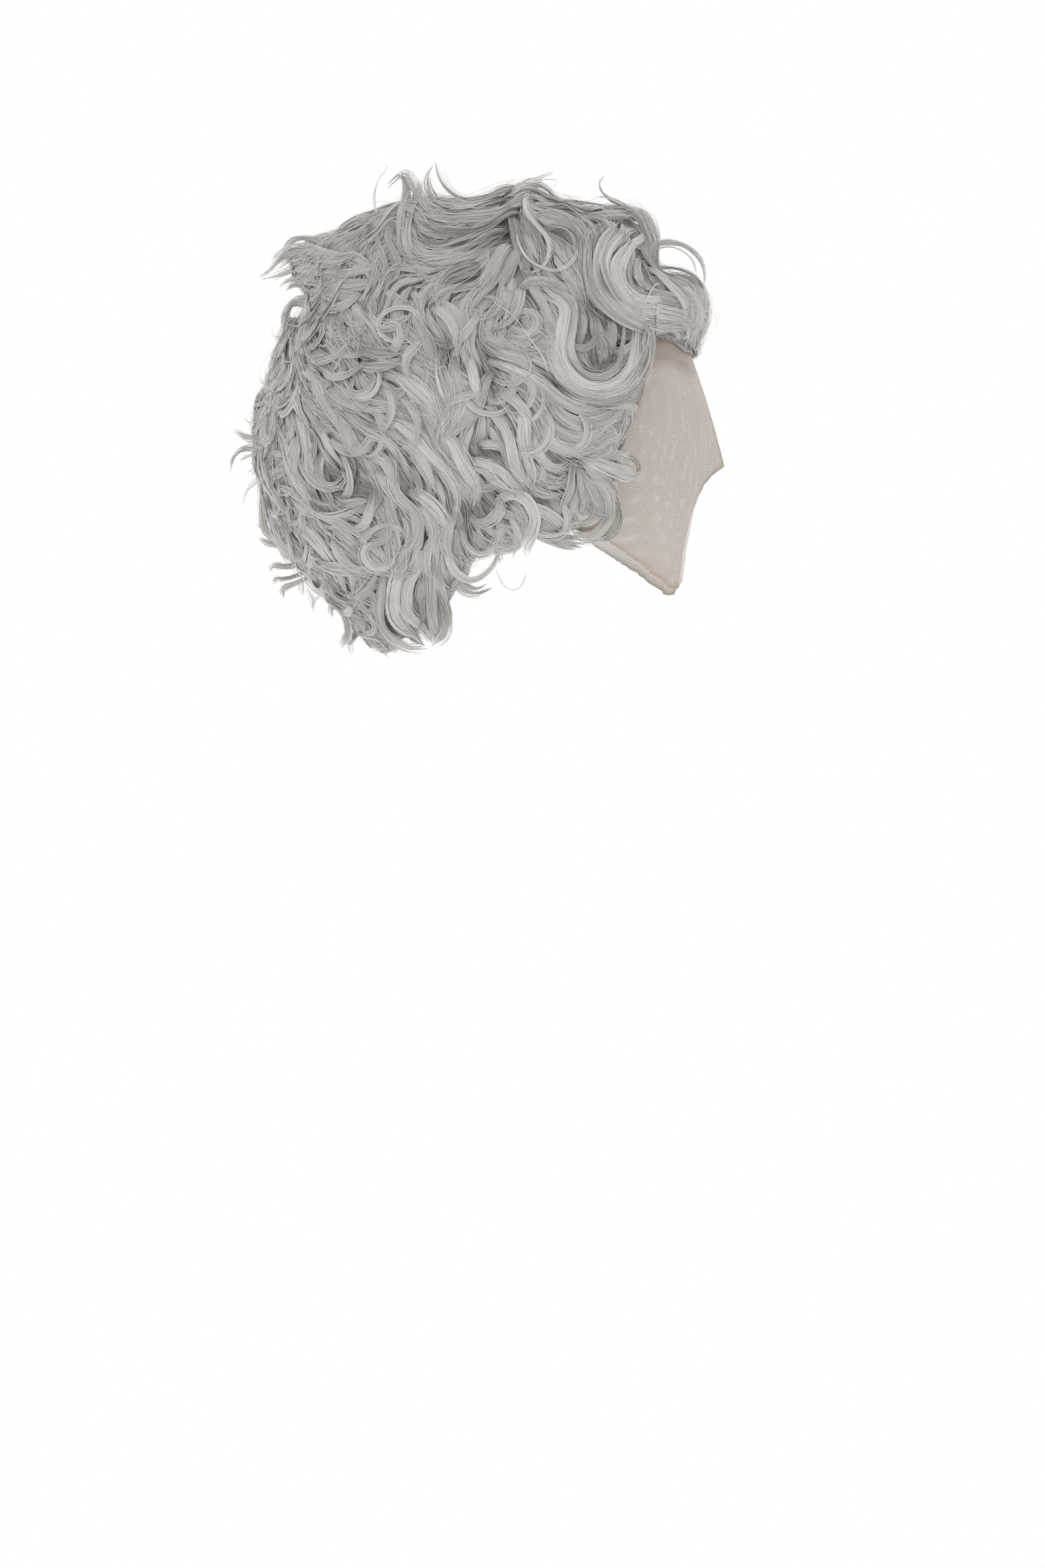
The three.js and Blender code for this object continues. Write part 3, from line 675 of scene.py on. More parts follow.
def distance_map(names):
    """Outer distances on a grid of azimuths and angles, and each azimuth's lowest angle. Past the lower edge
    the last distance holds."""
    tree = tree_of(names)
    grid = np.zeros((len(AZIMUTHS), len(ANGLES)))
    edges = np.zeros(len(AZIMUTHS))
    for i, azimuth in enumerate(AZIMUTHS):
        last = None
        for j, angle in enumerate(ANGLES):
            reached = outer_distance(tree, azimuth, angle)
            if reached is not None:
                last = reached
                edges[i] = angle
            grid[i, j] = last
        for angle in np.arange(edges[i], edges[i] + ANGLE_STEP, EDGE_SEARCH_STEP):
            if outer_distance(tree, azimuth, angle) is not None:
                edges[i] = angle
    return grid, edges


def read_map(grid, azimuth, angle):
    """A map's distance in any direction, blended from the four around it."""
    column = np.mod(azimuth, 360) / AZIMUTH_STEP
    row = np.clip((np.asarray(angle) - ANGLES[0]) / ANGLE_STEP, 0, grid.shape[1] - 1.001)
    c, r = np.floor(column).astype(int), np.floor(row).astype(int)
    f, g = column - c, row - r
    c, d = c % grid.shape[0], (c + 1) % grid.shape[0]
    upper = grid[c, r] * (1 - f) + grid[d, r] * f
    lower = grid[c, r + 1] * (1 - f) + grid[d, r + 1] * f
    return upper * (1 - g) + lower * g


def on_right(points):
    """Points with those on the wearer's left mirrored to the right."""
    return points * np.where(points[..., :1] > 0, np.array((-1, 1, 1)), 1)


def share_near(points, spots):
    """How near points are to spots of the side view, each spot's own depth at its middle."""
    seen = CAMERA_PLACE + (points - CAMERA_PLACE) * (CAMERA_PLACE[0] / (CAMERA_PLACE[0] - points[..., :1]))
    depths = [
        s.depth * np.exp(-((seen[..., 1] - s.y) ** 2 + (seen[..., 2] - s.z) ** 2) / (2 * s.radius**2))
        for s in spots
    ]
    return np.max(depths, axis=0)


def off_front(azimuth):
    """How far an azimuth is from the front's middle, to either side."""
    return np.abs(np.mod(np.asarray(azimuth) + 180, 360) - 180)


def hairline_raise(azimuth):
    return np.interp(off_front(azimuth), HAIRLINE_AZIMUTHS, HAIRLINE_RAISES)


def left_raise(azimuth):
    past = off_front(azimuth - LEFT_AZIMUTH)
    return LEFT_RAISE * np.clip((LEFT_HALF_AZIMUTH + LEFT_EASE - past) / LEFT_EASE, 0, 1)


def dented(grid):
    """The map with the dents of the hair's outline pressed in."""
    form = point_at(*np.meshgrid(AZIMUTHS, ANGLES, indexing="ij"), grid)
    return grid - np.maximum(share_near(form, DENTS), share_near(on_right(form), DENTS))


def thinned(grid, edges):
    """The map drawn down to the cap towards the hairline at the front."""
    azimuth, angle = AZIMUTHS[:, None], ANGLES[None, :]
    fuller = FULLER_THICKNESS * np.clip(1 - hairline_raise(azimuth) / FULLER_RAISE, 0, 1)
    thick = HAIRLINE_THICKNESS + THICKER_PER_DEGREE * np.maximum(edges[:, None] - angle, 0) + fuller
    return np.where(off_front(azimuth) < HAIRLINE_AZIMUTHS[-1], np.minimum(grid, ROOT_MAP + thick), grid)


frame_map, frame_edges = distance_map(HAIR_NODES)
ROOT_MAP, CAP_EDGES = distance_map(["cap"])
HAIR_EDGES = frame_edges - hairline_raise(AZIMUTHS) - left_raise(AZIMUTHS)
HAIR_MAP = thinned(dented(frame_map), HAIR_EDGES)


def form_distance(azimuth, angle):
    return read_map(HAIR_MAP, azimuth, angle)


def edge_angle(azimuth):
    """How far down the hair's form reaches at an azimuth."""
    return np.interp(azimuth, AZIMUTHS, HAIR_EDGES, period=360)


def cap_edge(azimuth):
    """How far down the cap reaches near an azimuth."""
    return CAP_EDGES[int(np.mod(azimuth, 360) / AZIMUTH_STEP)]


def above_hairline(azimuth, angle):
    """An angle, held at the hair's edge where that is raised."""
    slack = RAISE_SLACK * np.clip(1 - (hairline_raise(azimuth) + left_raise(azimuth)) / RAISE_EASE, 0, 1)
    return min(angle, edge_angle(azimuth) + EDGE_SLACK + slack)


def above_form(points):
    azimuth, angle, distance = polar_of(points)
    return distance - form_distance(azimuth, angle)


def unit(vectors):
    return vectors / np.linalg.norm(vectors, axis=-1, keepdims=True)


def outward_at(points):
    """Directions straight off the hair's form."""
    steps = np.eye(3) * SLOPE_STEP
    slopes = [above_form(points + step) - above_form(points - step) for step in steps]
    return unit(np.stack(slopes, -1))


def smooth_path(points, spacing):
    """A curve through given points, evenly spaced along its length."""
    points = np.asarray(points, float)
    padded = np.vstack([2 * points[0] - points[1], points, 2 * points[-1] - points[-2]])
    t = np.linspace(0, 1, CURVE_STEPS, endpoint=False)[:, None]
    pieces = []
    for a, b, c, d in zip(padded, padded[1:], padded[2:], padded[3:]):
        pieces.append(
            b + 0.5 * t * (c - a + t * (2 * a - 5 * b + 4 * c - d + t * (3 * (b - c) + d - a)))
        )
    curve = np.vstack(pieces + [points[-1:]])
    travelled = np.concatenate([[0], np.cumsum(np.linalg.norm(np.diff(curve, axis=0), axis=1))])
    count = max(FEWEST_STOPS, int(np.ceil(travelled[-1] / spacing)) + 1)
    stops = np.linspace(0, travelled[-1], count)
    return np.stack([np.interp(stops, travelled, curve[:, k]) for k in range(curve.shape[1])], -1)


def onto_form(path):
    """A side-view path laid on the wearer's right of the hair's form, and past its outline in the open."""
    targets = np.column_stack([np.zeros(len(path)), path])
    rays = CAMERA_PLACE + (targets - CAMERA_PLACE)[:, None, :] * SIGHT_SHARES[:, None]
    heights = above_form(rays)
    inside = heights < 0
    place = np.where(inside.any(1), inside.argmax(1), heights.argmin(1))
    chosen = rays[np.arange(len(path)), place]
    depth = chosen[:, 0]
    azimuth, angle, _ = polar_of(chosen)
    past_edge = angle > edge_angle(azimuth) - EDGE_MARGIN
    for i in np.flatnonzero(past_edge[1:]) + 1:
        depth[i] = depth[i - 1] + np.clip(depth[i] - depth[i - 1], -DRIFT_PAST_EDGE, DRIFT_PAST_EDGE)
    ends = np.pad(depth, 2, mode="edge")
    depth = (ends[:-4] + 2 * ends[1:-3] + 3 * ends[2:-2] + 2 * ends[3:-1] + ends[4:]) / 9
    share = (depth - CAMERA_PLACE[0]) / -CAMERA_PLACE[0]
    return CAMERA_PLACE + (targets - CAMERA_PLACE) * share[:, None]


def within_tones(shade):
    return np.clip(shade, DARKEST_TONE, PALEST_TONE)


# The hair's bulk under the locks

def joined(node):
    """A copy of a node's mesh with its loose triangles joined up."""
    body = bmesh.new()
    body.from_mesh(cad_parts[node].data)
    bmesh.ops.remove_doubles(body, verts=body.verts, dist=JOIN_DISTANCE * MM)
    return body


def bulk(node):
    """The hair's own bulk under the locks: the node's form drawn in towards the cap, as one closed skin."""
    body = joined(node)
    for vertex in body.verts:
        azimuth, angle, distance = polar_of(np.array(vertex.co) / MM)
        angle = above_hairline(azimuth, angle)
        outer = form_distance(azimuth, angle)
        distance = min(distance, outer)
        root = read_map(ROOT_MAP, azimuth, angle) + ROOT_CLEARANCE
        if distance > root + BULK_CLEARANCE and outer - distance < INNER_SKIN:
            least = BULK_LEAST_AT_BACK if abs(azimuth) > BULK_BACK_AZIMUTH else BULK_LEAST
            share = np.clip((edge_angle(azimuth) + BULK_PAST_EDGE - angle) / BULK_TAPER, least, 1)
            depth = max(BULK_SHARE * (distance - root), distance - root - BULK_DEPTH)
            hollow = share_near(on_right(point_at(azimuth, angle, distance)), HOLLOWS)
            distance = root + max(depth * share - BULK_HOLLOWS * hollow, THINNEST_BULK)
        vertex.co = Vector(point_at(azimuth, angle, distance) * MM)
    triangles = [[v.index for v in face.verts] for face in body.faces]
    vertices = np.array([v.co for v in body.verts])
    body.free()
    azimuth, angle, _ = polar_of(vertices[np.array(triangles)] / MM)
    # Painted shade of the hair's depth: the bulk is a little darker than the locks, with a tone that rises
    # and falls round it.
    shade = BULK_SHADED_TONE + BULK_TONES * (4 * np.abs(np.mod(azimuth / BULK_TONE_TURN, 1) - 0.5) - 1)
    # Painted shade: the bulk's underside, past the hair's lower edge, is painted darker.
    shade = shade - UNDERSIDE_PAINTED_SHADE * (angle > edge_angle(azimuth) - EDGE_MARGIN)
    uv = np.stack([within_tones(shade), angle / 180], -1).reshape(-1, 2)
    return vertices, triangles, uv


bulks = {node: bulk(node) for node in HAIR_NODES}


def tree_of_bulks():
    """One search tree over the bulks of all sections."""
    vertices, triangles = [], []
    for places, corners, _ in bulks.values():
        triangles += (np.array(corners) + len(vertices)).tolist()
        vertices += places.tolist()
    return BVHTree.FromPolygons(vertices, triangles)


# Guides: where each lock runs over the form

# A guide's tone is painted light and shade: paler for a raised lock, as painted highlight, and darker in the
# hollows, as painted shade.
Guide = namedtuple("Guide", "azimuth angle height width tone")


def guide_of(lock):
    """A lock of the side view laid on the form: sunk at its root, lifted along its middle, and painted paler
    the higher it is lifted and darker the deeper it is sunk, as painted highlight and painted shade.
    """
    points = onto_form(smooth_path(lock.path, SEGMENT_LENGTH))
    azimuth, angle, distance = polar_of(points)
    height = np.maximum(distance - form_distance(azimuth, angle), LOWEST_HEIGHT)
    along = np.linspace(0, 1, len(points))
    rise = LIFT_SHARE * lock.lift * np.sin(np.pi * np.clip(along * 1.15, 0, 1)) ** 0.7
    sink = ROOT_SINK * np.clip(1 - along / SINK_SHARE, 0, 1) ** 2 * (lock.width > SINKING_WIDTH)
    waves = np.arange(len(points)) * SEGMENT_LENGTH / BULGE_LENGTH + dice.random()
    bulge = BULGE * np.sin(2 * np.pi * waves) * (lock.width > BULGING_WIDTH)
    tone = PAINTED_LIGHT_PER_LIFT * lock.lift
    return Guide(np.unwrap(azimuth, period=360), angle, height + rise + bulge - sink, lock.width, tone)


def moved(guide, turn=0.0, mirror=False, drop=0.0):
    """The same lock elsewhere on the cap: turned about the upright, mirrored or lower, but held up within
    the hair's lower edge."""
    azimuth = turn + (-guide.azimuth if mirror else guide.azimuth)
    angle = np.minimum(guide.angle + drop, edge_angle(azimuth) - HELD_UP)
    return guide._replace(azimuth=azimuth, angle=angle)


def run_of(guide):
    """The points that a guide passes through."""
    return point_at(guide.azimuth, guide.angle, form_distance(guide.azimuth, guide.angle) + guide.height)


def middle_of(guide):
    """The azimuth, from -180 to 180, and the angle of a guide's middle."""
    half = len(guide.azimuth) // 2
    return (guide.azimuth[half] + 180) % 360 - 180, guide.angle[half]


def carried_on(guide):
    """A lock that ends at the side of the front, carried on round it."""
    azimuth = np.append(guide.azimuth, guide.azimuth[-1] - CARRY_TURN * CARRY_STEPS)
    angle = np.append(guide.angle, guide.angle[-1] + CARRY_DROP * CARRY_STEPS)
    lowest = edge_angle(azimuth[-len(CARRY_STEPS) :]) - CARRY_MARGIN
    angle = np.minimum(angle, np.append(guide.angle, lowest))
    height = np.append(guide.height, guide.height[-1] * (1 - CARRY_STEPS / len(CARRY_STEPS)))
    return guide._replace(azimuth=azimuth, angle=angle, height=height)


right_guides = [guide_of(lock) for lock in READ_LOCKS]
for k, lock in enumerate(FRONT_SWOOP):
    if lock.path[-1][0] < CARRY_PAST_Y and right_guides[k].azimuth[-1] < CARRY_WITHIN_AZIMUTH:
        right_guides[k] = carried_on(right_guides[k])
left_guides = []
back_guides = []
for guide in right_guides:
    turn, angle = middle_of(guide)
    if guide.angle.min() > LEFT_FROM_ANGLE and guide.height.max() < STANDING:
        aside = dice.normal(0, LEFT_TURN_SPREAD)
        left_guides.append(moved(guide, aside, mirror=True, drop=dice.normal(0, LEFT_DROP_SPREAD)))
    beside = BACK_SOURCE_AZIMUTHS[0] < turn < BACK_SOURCE_AZIMUTHS[1]
    level = BACK_SOURCE_ANGLES[0] < angle < BACK_SOURCE_ANGLES[1]
    if beside and level and guide.width > WISP_WIDTH:
        aside = BACK_TURN + dice.normal(0, BACK_TURN_SPREAD)
        back_guides.append(moved(guide, aside, drop=dice.normal(0, BACK_DROP_SPREAD)))


# Fibres, filed under the section that they belong to

fibres = {name: [] for name in HAIR_NODES}


def section_of(turn, angle):
    """The hair node that a direction belongs to."""
    if angle < CROWN_ANGLE:
        return "hair_crown"
    if abs(turn) < FRONT_HALF_AZIMUTH:
        return "hair_front"
    if abs(turn) < BACK_FROM_AZIMUTH:
        return "hair_side_right" if turn > 0 else "hair_side_left"
    return "hair_back_upper" if angle < NAPE_FROM_ANGLE else "hair_nape"


def near_middle(points):
    """How near points are to the upright plane through the cap's middle, 1 in it."""
    return np.clip(1 - np.abs(points[:, 0]) / LEAN_REACH, 0, 1)


def turned_by(angle, across, off):
    """Two directions across a path, turned together about it."""
    return across * np.cos(angle) + off * np.sin(angle), off * np.cos(angle) - across * np.sin(angle)


def axes_along(guide, roll, lean):
    """A guide's points, with the directions across it and off the form, which roll slowly along it. Near
    the cap's middle a lock leans to its own side, so that it shows its breadth from there too."""
    points = run_of(guide)
    along = unit(np.gradient(points, axis=0))
    outward = unit(outward_at(points) + near_middle(points)[:, None] * np.array((lean, 0, 0)))
    across = unit(np.cross(outward, along))
    off = np.cross(along, across)
    t = np.linspace(0, 1, len(points))
    rolled = np.radians(roll) * np.sin(2 * np.pi * (dice.uniform(0.4, 1.1) * t + dice.random()))[:, None]
    return points, *turned_by(rolled, across, off)


def fullness(t):
    """How full a lock is from its root, 0, to its tip, 1."""
    full = 0.55 + 0.45 * np.sin(np.clip(t / 0.45, 0, 1) * np.pi / 2)
    return full * (1 - 0.6 * np.clip((t - 0.5) / 0.5, 0, 1) ** 1.6)


def add_body(guide, axes, columns, tone):
    """Lays the smooth body of a lock under its fibres: a crowned strip that tapers to its tip."""
    points, across, off = axes
    t = np.linspace(0, 1, len(points))
    column = np.linspace(-1, 1, columns)
    half = guide.width / 2 * BODY_SHARE * fullness(t) * (1 - t**2.5) * np.sqrt(np.clip(t / 0.08, 0.2, 1))
    rise = guide.width * LOCK_THICKNESS_SHARE * (0.3 - 1.1 * column**2)
    strip = points[:, None] + across[:, None] * (half[:, None] * column)[..., None]
    strip = strip + off[:, None] * (fullness(t)[:, None] * rise)[..., None]
    shade = MIDDLE_TONE + tone[:, None] + dice.normal(0, BODY_TONE_SPREAD)
    # The tone runs across the body. It spreads the streaks and paints one side, picked at random, paler than
    # the other, as painted shade.
    shade = shade + column * dice.choice((-1, 1)) * BODY_STREAKS_AND_SIDE_SHADE
    uv = np.stack(np.broadcast_arrays(within_tones(shade), t[:, None]), -1)
    fibres[section_of(*middle_of(guide))].append((strip[None], uv[None]))


def add_fibres(guide, axes, count, looseness, fibre_width, tone):
    """Lays a lock's flat fibres, in clumps that wander and end together."""
    points, across, off = axes
    stops = len(points)
    clumps = max(1, round(guide.width * CLUMPS_PER_MM))
    clump = dice.integers(0, clumps, count)

    def shared(draws):
        """A draw for each clump, handed to its fibres."""
        return draws[clump][:, None]

    def wave(turns, start, size):
        """A sway that grows towards the tip."""
        return np.sin(2 * np.pi * (turns * t + start)) * size * (0.25 + t)

    reach = shared(1 - 0.32 * dice.random(clumps) ** 2) * (1 - 0.1 * dice.random((count, 1)))
    t = np.linspace(0, 1, stops)[None, :] * reach
    place = t * (stops - 1)
    low = np.minimum(place.astype(int), stops - 2)
    part = (place - low)[..., None]

    def follow(values):
        """The path's values at each fibre's own stops."""
        return values[low] * (1 - part) + values[low + 1] * part

    spread = fullness(t)
    u = shared(dice.uniform(-1.1, 1.1, clumps)) + dice.normal(0, 0.14, (count, 1))
    v = shared(dice.uniform(0.1, 1, clumps)) * (1 - 0.5 * np.minimum(np.abs(u), 1))
    v = v + dice.normal(0, 0.1, (count, 1))
    stray = looseness * (0.12 + 0.02 * guide.width) * np.where(dice.random((count, 1)) < 0.07, 4, 1)
    drift = looseness * 0.09 * guide.width
    sideways = u * guide.width / 2 * spread
    upwards = v * guide.width * LOCK_THICKNESS_SHARE * spread
    for shift, share in ((sideways, 1.0), (upwards, 0.6)):
        shift += share * wave(shared(dice.uniform(0.4, 1.4, clumps)), shared(dice.random(clumps)), drift)
        shift += share * wave(dice.uniform(0.5, 2.2, (count, 1)), dice.random((count, 1)), stray)
    twist = np.radians(dice.normal(0, 8) + dice.normal(0, 20) * t)[..., None]
    side, up = turned_by(twist, follow(across), follow(off))
    centre = follow(points) + side * sideways[..., None] + up * upwards[..., None]
    tilt = np.radians(dice.normal(0, 9, (count, 1)))[..., None]
    half = 0.5 * fibre_width * dice.uniform(0.7, 1.25, (count, 1))
    half = half * (1 - 0.75 * t**4) * np.clip(0.25 + t / 0.15, 0, 1)
    edge = (side * np.cos(tilt) + up * np.sin(tilt)) * half[..., None]
    ribbon = np.stack([centre - edge, centre + edge], 2)
    shade = MIDDLE_TONE + shared(dice.normal(0, LOCK_TONE_SPREAD, clumps))
    shade = shade + dice.normal(0, FIBRE_TONE_SPREAD, (count, 1)) + np.interp(place, np.arange(stops), tone)
    column = within_tones(shade)[..., None] + np.array((-FIBRE_TONES, FIBRE_TONES))
    uv = np.stack(np.broadcast_arrays(column, t[..., None]), -1)
    fibres[section_of(*middle_of(guide))].append((ribbon, uv))


def lay_along(guide, axes, dressing, tone):
    """Lays a dressed lock along a path's own axes."""
    if dressing.columns:
        add_body(guide, axes, dressing.columns, tone)
    add_fibres(guide, axes, dressing.fibres, dressing.looseness, dressing.fibre_width, tone)


def lay_lock(guide, dressing, tone=0.0, lean=0.0):
    """Lays a dressed lock along a guide."""
    axes = axes_along(guide, dressing.roll, lean)
    # The tone adds the guide's painted highlight and shade, and painted rim light near the upright middle
    # plane.
    lay_along(guide, axes, dressing, guide.tone + (tone + dressing.tone) + PAINTED_RIM_LIGHT * near_middle(axes[0]))


for guides, share, fibre_width, lean in (
    (right_guides, 1.0, LOCK.fibre_width, -LEAN),
    (left_guides, FAR_SHARE, FAR_FIBRE_WIDTH, LEAN),
    (back_guides, FAR_SHARE, FAR_FIBRE_WIDTH, 0.0),
):
    for guide in guides:
        tone = dice.normal(0, LOCK_TONE_SPREAD)
        if guide.width > WISP_WIDTH:
            count = int(share * LOCK_FIBRES_PER_MM * guide.width)
            lay_lock(guide, LOCK._replace(fibres=count, fibre_width=fibre_width), tone, lean)
            lay_lock(guide, STRAY._replace(fibres=int(share * STRAY.fibres)), tone, lean)
        else:
            count = int(share * (WISP.fibres + WISP_FIBRES_PER_MM * guide.width))
            lay_lock(guide, WISP._replace(fibres=count), tone, lean)


# Hair between the locks, combed the way of the locks around it

Comb = namedtuple("Comb", "places ways weights")


def comb_of(guides):
    """The way that each lock runs at each of its points, which counts by the lock's width."""
    places, ways, weights = [], [], []
    for guide in guides:
        points = run_of(guide)
        places.append(points)
        ways.append(unit(np.gradient(points, axis=0)))
        weights.append(np.full(len(points), guide.width))
    return Comb(np.vstack(places), np.vstack(ways), np.concatenate(weights))


comb = comb_of(right_guides + left_guides + back_guides)


def along_form(way, outward):
    """A way with what points off the form taken out."""
    return unit(way - outward * (way * outward).sum(1, keepdims=True))


def combed_way(points):
    """Which way the nearby locks run, and straight down where there are none."""
    gaps = (points**2).sum(1)[:, None] + (comb.places**2).sum(1) - 2 * points @ comb.places.T
    pull = comb.weights * np.exp(-gaps / (2 * COMB_REACH**2))
    return along_form(pull @ comb.ways + COMB_HANG, outward_at(points))


def walk(azimuth, angle, heights, step, turning=None, past_edge=-1.0):
    """Tracks over the form from many places at once, along the comb or, told how sharply, round in curls."""
    tracks = [(azimuth, angle)]
    point = point_at(azimuth, angle, form_distance(azimuth, angle) + heights[0])
    way = combed_way(point)
    for number, height in enumerate(heights[1:]):
        if turning is None:
            wander = dice.normal(0, COMB_WANDER, point.shape)
            way = unit(COMB_HOLD * way + COMB_PULL * combed_way(point) + wander)
        else:
            outward = outward_at(point)
            way = along_form(way, outward)
            turned = turning[number][:, None]
            way = way * np.cos(turned) + np.cross(outward, way) * np.sin(turned)
        azimuth, angle, _ = polar_of(point + way * step)
        angle = np.minimum(angle, edge_angle(azimuth) + past_edge)
        point = point_at(azimuth, angle, form_distance(azimuth, angle) + height)
        tracks.append((azimuth, angle))
    return np.array(tracks)


def guides_along(tracks, heights, width):
    """Guides along many tracks at once, which sink in the hollows and are painted darker there, as painted
    shade.
    """
    guides = []
    for k, (turns, angle) in enumerate(tracks.transpose(2, 1, 0)):
        hollow = share_near(on_right(point_at(turns, angle, form_distance(turns, angle))), HOLLOWS)
        turns = np.unwrap(turns, period=360)
        guides.append(Guide(turns, angle, heights[:, k] - hollow, width, -PAINTED_SHADE_PER_DEPTH * hollow))
    return guides


def combed_guides(azimuth, angle, height, width, steps, step):
    """Guides that start at many places at once and follow the comb."""
    heights = np.linspace(1, 0.6, steps + 1)[:, None] * height
    return guides_along(walk(azimuth, angle, heights, step), heights, width)


def spread_places(count):
    """Places spread evenly over the hair's form: on the turns of a spiral, thinned out where it is near."""
    level = np.cos(np.radians(SPREAD_FROM_ANGLE)) - (np.arange(count) + 0.5) / count * SPREAD_LEVELS
    angle = np.degrees(np.arccos(np.clip(level, -1, 1)))
    azimuth = np.arange(count) * GOLDEN_TURN % 360
    kept = angle < edge_angle(azimuth) - SPREAD_MARGIN
    kept &= dice.random(count) < (form_distance(azimuth, angle) / FARTHEST) ** 2
    return azimuth[kept], angle[kept]


for count, depths, width, dressing in UNDER_LAYERS:
    azimuth, angle = spread_places(count)
    depth = form_distance(azimuth, angle) - read_map(ROOT_MAP, azimuth, angle)
    height = np.maximum(dice.uniform(*depths, len(angle)), -UNDER_DEEPEST_SHARE * depth)
    for guide in combed_guides(azimuth, angle, height, width, UNDER_STEPS, UNDER_STEP):
        lay_lock(guide, dressing)

# Small curls between the raised locks, on the lower half of the hair
azimuth, angle = spread_places(CURL_PLACES)
kept = (angle > CURLS_BELOW) & (off_front(azimuth) > CURLS_OFF_FRONT)
azimuth, angle = azimuth[kept], angle[kept]
# The raised locks are found by the painted highlight of their lift.
raised_highlight = CURL_CLEAR_LIFT * PAINTED_LIGHT_PER_LIFT
raised = np.vstack([run_of(g)[2:-2] for g in right_guides + left_guides if g.tone > raised_highlight])
start = point_at(azimuth, angle, form_distance(azimuth, angle))
kept = np.sqrt(((start[:, None] - raised[None]) ** 2).sum(-1)).min(1) > CURL_CLEARANCE
azimuth, angle = azimuth[kept], angle[kept]
t = np.linspace(0, 1, CURL_STEPS + 1)[:, None]
lift = dice.uniform(*CURL_LIFTS, len(angle))
heights = lift * np.sin(np.pi * np.clip(0.1 + t, 0, 1)) ** 0.7 - CURL_SINK * (1 - t)
radius = dice.uniform(*CURL_RADII, len(angle))
turning = dice.choice((-1, 1), len(angle)) * CURL_STEP / radius * (0.5 + t[1:])
tracks = walk(azimuth, angle, heights, CURL_STEP, turning, CURL_PAST_EDGE)
for guide in guides_along(tracks, heights, CURL_WIDTH):
    # Curls that stand higher are painted paler, as painted highlight.
    tone = PAINTED_LIGHT_PER_LIFT * guide.height.max() + dice.normal(0, LOCK_TONE_SPREAD)
    lay_lock(guide, CURL, tone)

# Small hooks of hair that stand off the outline at the back
azimuth, angle = spread_places(HOOK_PLACES)
kept = (np.abs(azimuth - 180) < HOOK_HALF_AZIMUTH) & (angle > HOOKS_BELOW)
kept &= angle < edge_angle(azimuth) - HOOK_MARGIN
for turn, low in zip(azimuth[kept], angle[kept]):
    radius = dice.uniform(*HOOK_RADII)
    swing = np.radians(np.linspace(0, dice.uniform(*HOOK_SWINGS), HOOK_STOPS))
    fall = np.degrees(radius * np.sin(swing) / form_distance(turn, low))
    side = dice.normal(0, HOOK_SIDEWAYS) * np.linspace(0, 1, HOOK_STOPS)
    guide = Guide(turn + side, low + fall, radius * (1 - np.cos(swing)) - HOOK_SINK, HOOK_WIDTH, 0.0)
    lay_lock(guide, HOOK)

# Hair inside the nape, under the cap's edge
hair_tree = tree_of_bulks()


def lowest_inside(azimuth, top):
    """The lowest angle, from a top one down, at which the bulk's inner skin is still met."""
    angle = top
    while angle < 175 and inner_distance(hair_tree, azimuth, angle + 1) > 0:
        angle += 1
    return angle


for turn in INNER_AZIMUTHS:
    top = cap_edge(turn) + 0.5
    angle = np.linspace(top, lowest_inside(turn, top) - 0.5, INNER_STOPS)
    swing = dice.uniform(*INNER_SWINGS) * np.sin(np.radians(angle * INNER_WAVES + dice.uniform(0, 360)))
    sway = turn + swing + dice.normal(0, 1.5)
    inner = np.array([inner_distance(hair_tree, *place) for place in zip(sway, angle)])
    if inner.min() > 0 and angle[-1] - top > INNER_LEAST_DROP:
        height = inner - form_distance(sway, angle) - dice.uniform(*INNER_OFFSETS)
        guide = Guide(sway, angle, height, dice.uniform(*INNER_WIDTHS), 0.0)
        # Inside the nape the hair is painted darker, as painted shade.
        lay_lock(guide, INNER_LOCK, dice.normal(*INNER_SHADED_TONE))


def underside_run(azimuth, sway):
    """Places across the bulk's underside, from its inner edge out, and the mean way off it."""
    places, ways = [], []
    for reach in np.arange(*UNDERSIDE_REACH, UNDERSIDE_STEP):
        turn = np.radians(azimuth + sway * (reach / UNDERSIDE_REACH[0] - 1))
        start = np.array((-np.sin(turn) * reach, -np.cos(turn) * reach, -FAR_OUT))
        place, normal, _, _ = hair_tree.ray_cast(Vector(start * MM), Vector((0, 0, 1)))
        if place is None or normal.z > -UNDERSIDE_FACING:
            continue
        place = np.array(place) / MM
        around, angle, distance = polar_of(place)
        within = distance < form_distance(around, angle) - UNDERSIDE_WITHIN
        if within and angle > cap_edge(around) + 1:
            places.append(place + np.array(normal) * UNDERSIDE_OFF)
            ways.append(np.array(normal))
    return np.array(places), np.mean(ways, axis=0) if ways else None


# Hair over the bulk's underside
for turn in UNDERSIDE_AZIMUTHS:
    turn = turn + dice.normal(0, 1)
    places, way = underside_run(turn, dice.uniform(-UNDERSIDE_SWAY, UNDERSIDE_SWAY))
    width = dice.uniform(*UNDERSIDE_WIDTHS)
    # Hair under the bulk is painted darker, as painted shade.
    tone = dice.normal(*UNDERSIDE_LOCK_SHADED_TONE)
    if len(places) > 2:
        points = smooth_path(places, SEGMENT_LENGTH)
        along = unit(np.gradient(points, axis=0))
        across = unit(np.cross(way, along))
        azimuth, angle, _ = polar_of(points)
        guide = Guide(np.unwrap(azimuth, period=360), angle, np.zeros(len(points)), width, 0.0)
        axes = (points, across, np.cross(along, across))
        lay_along(guide, axes, UNDERSIDE_LOCK, np.full(len(points), tone))

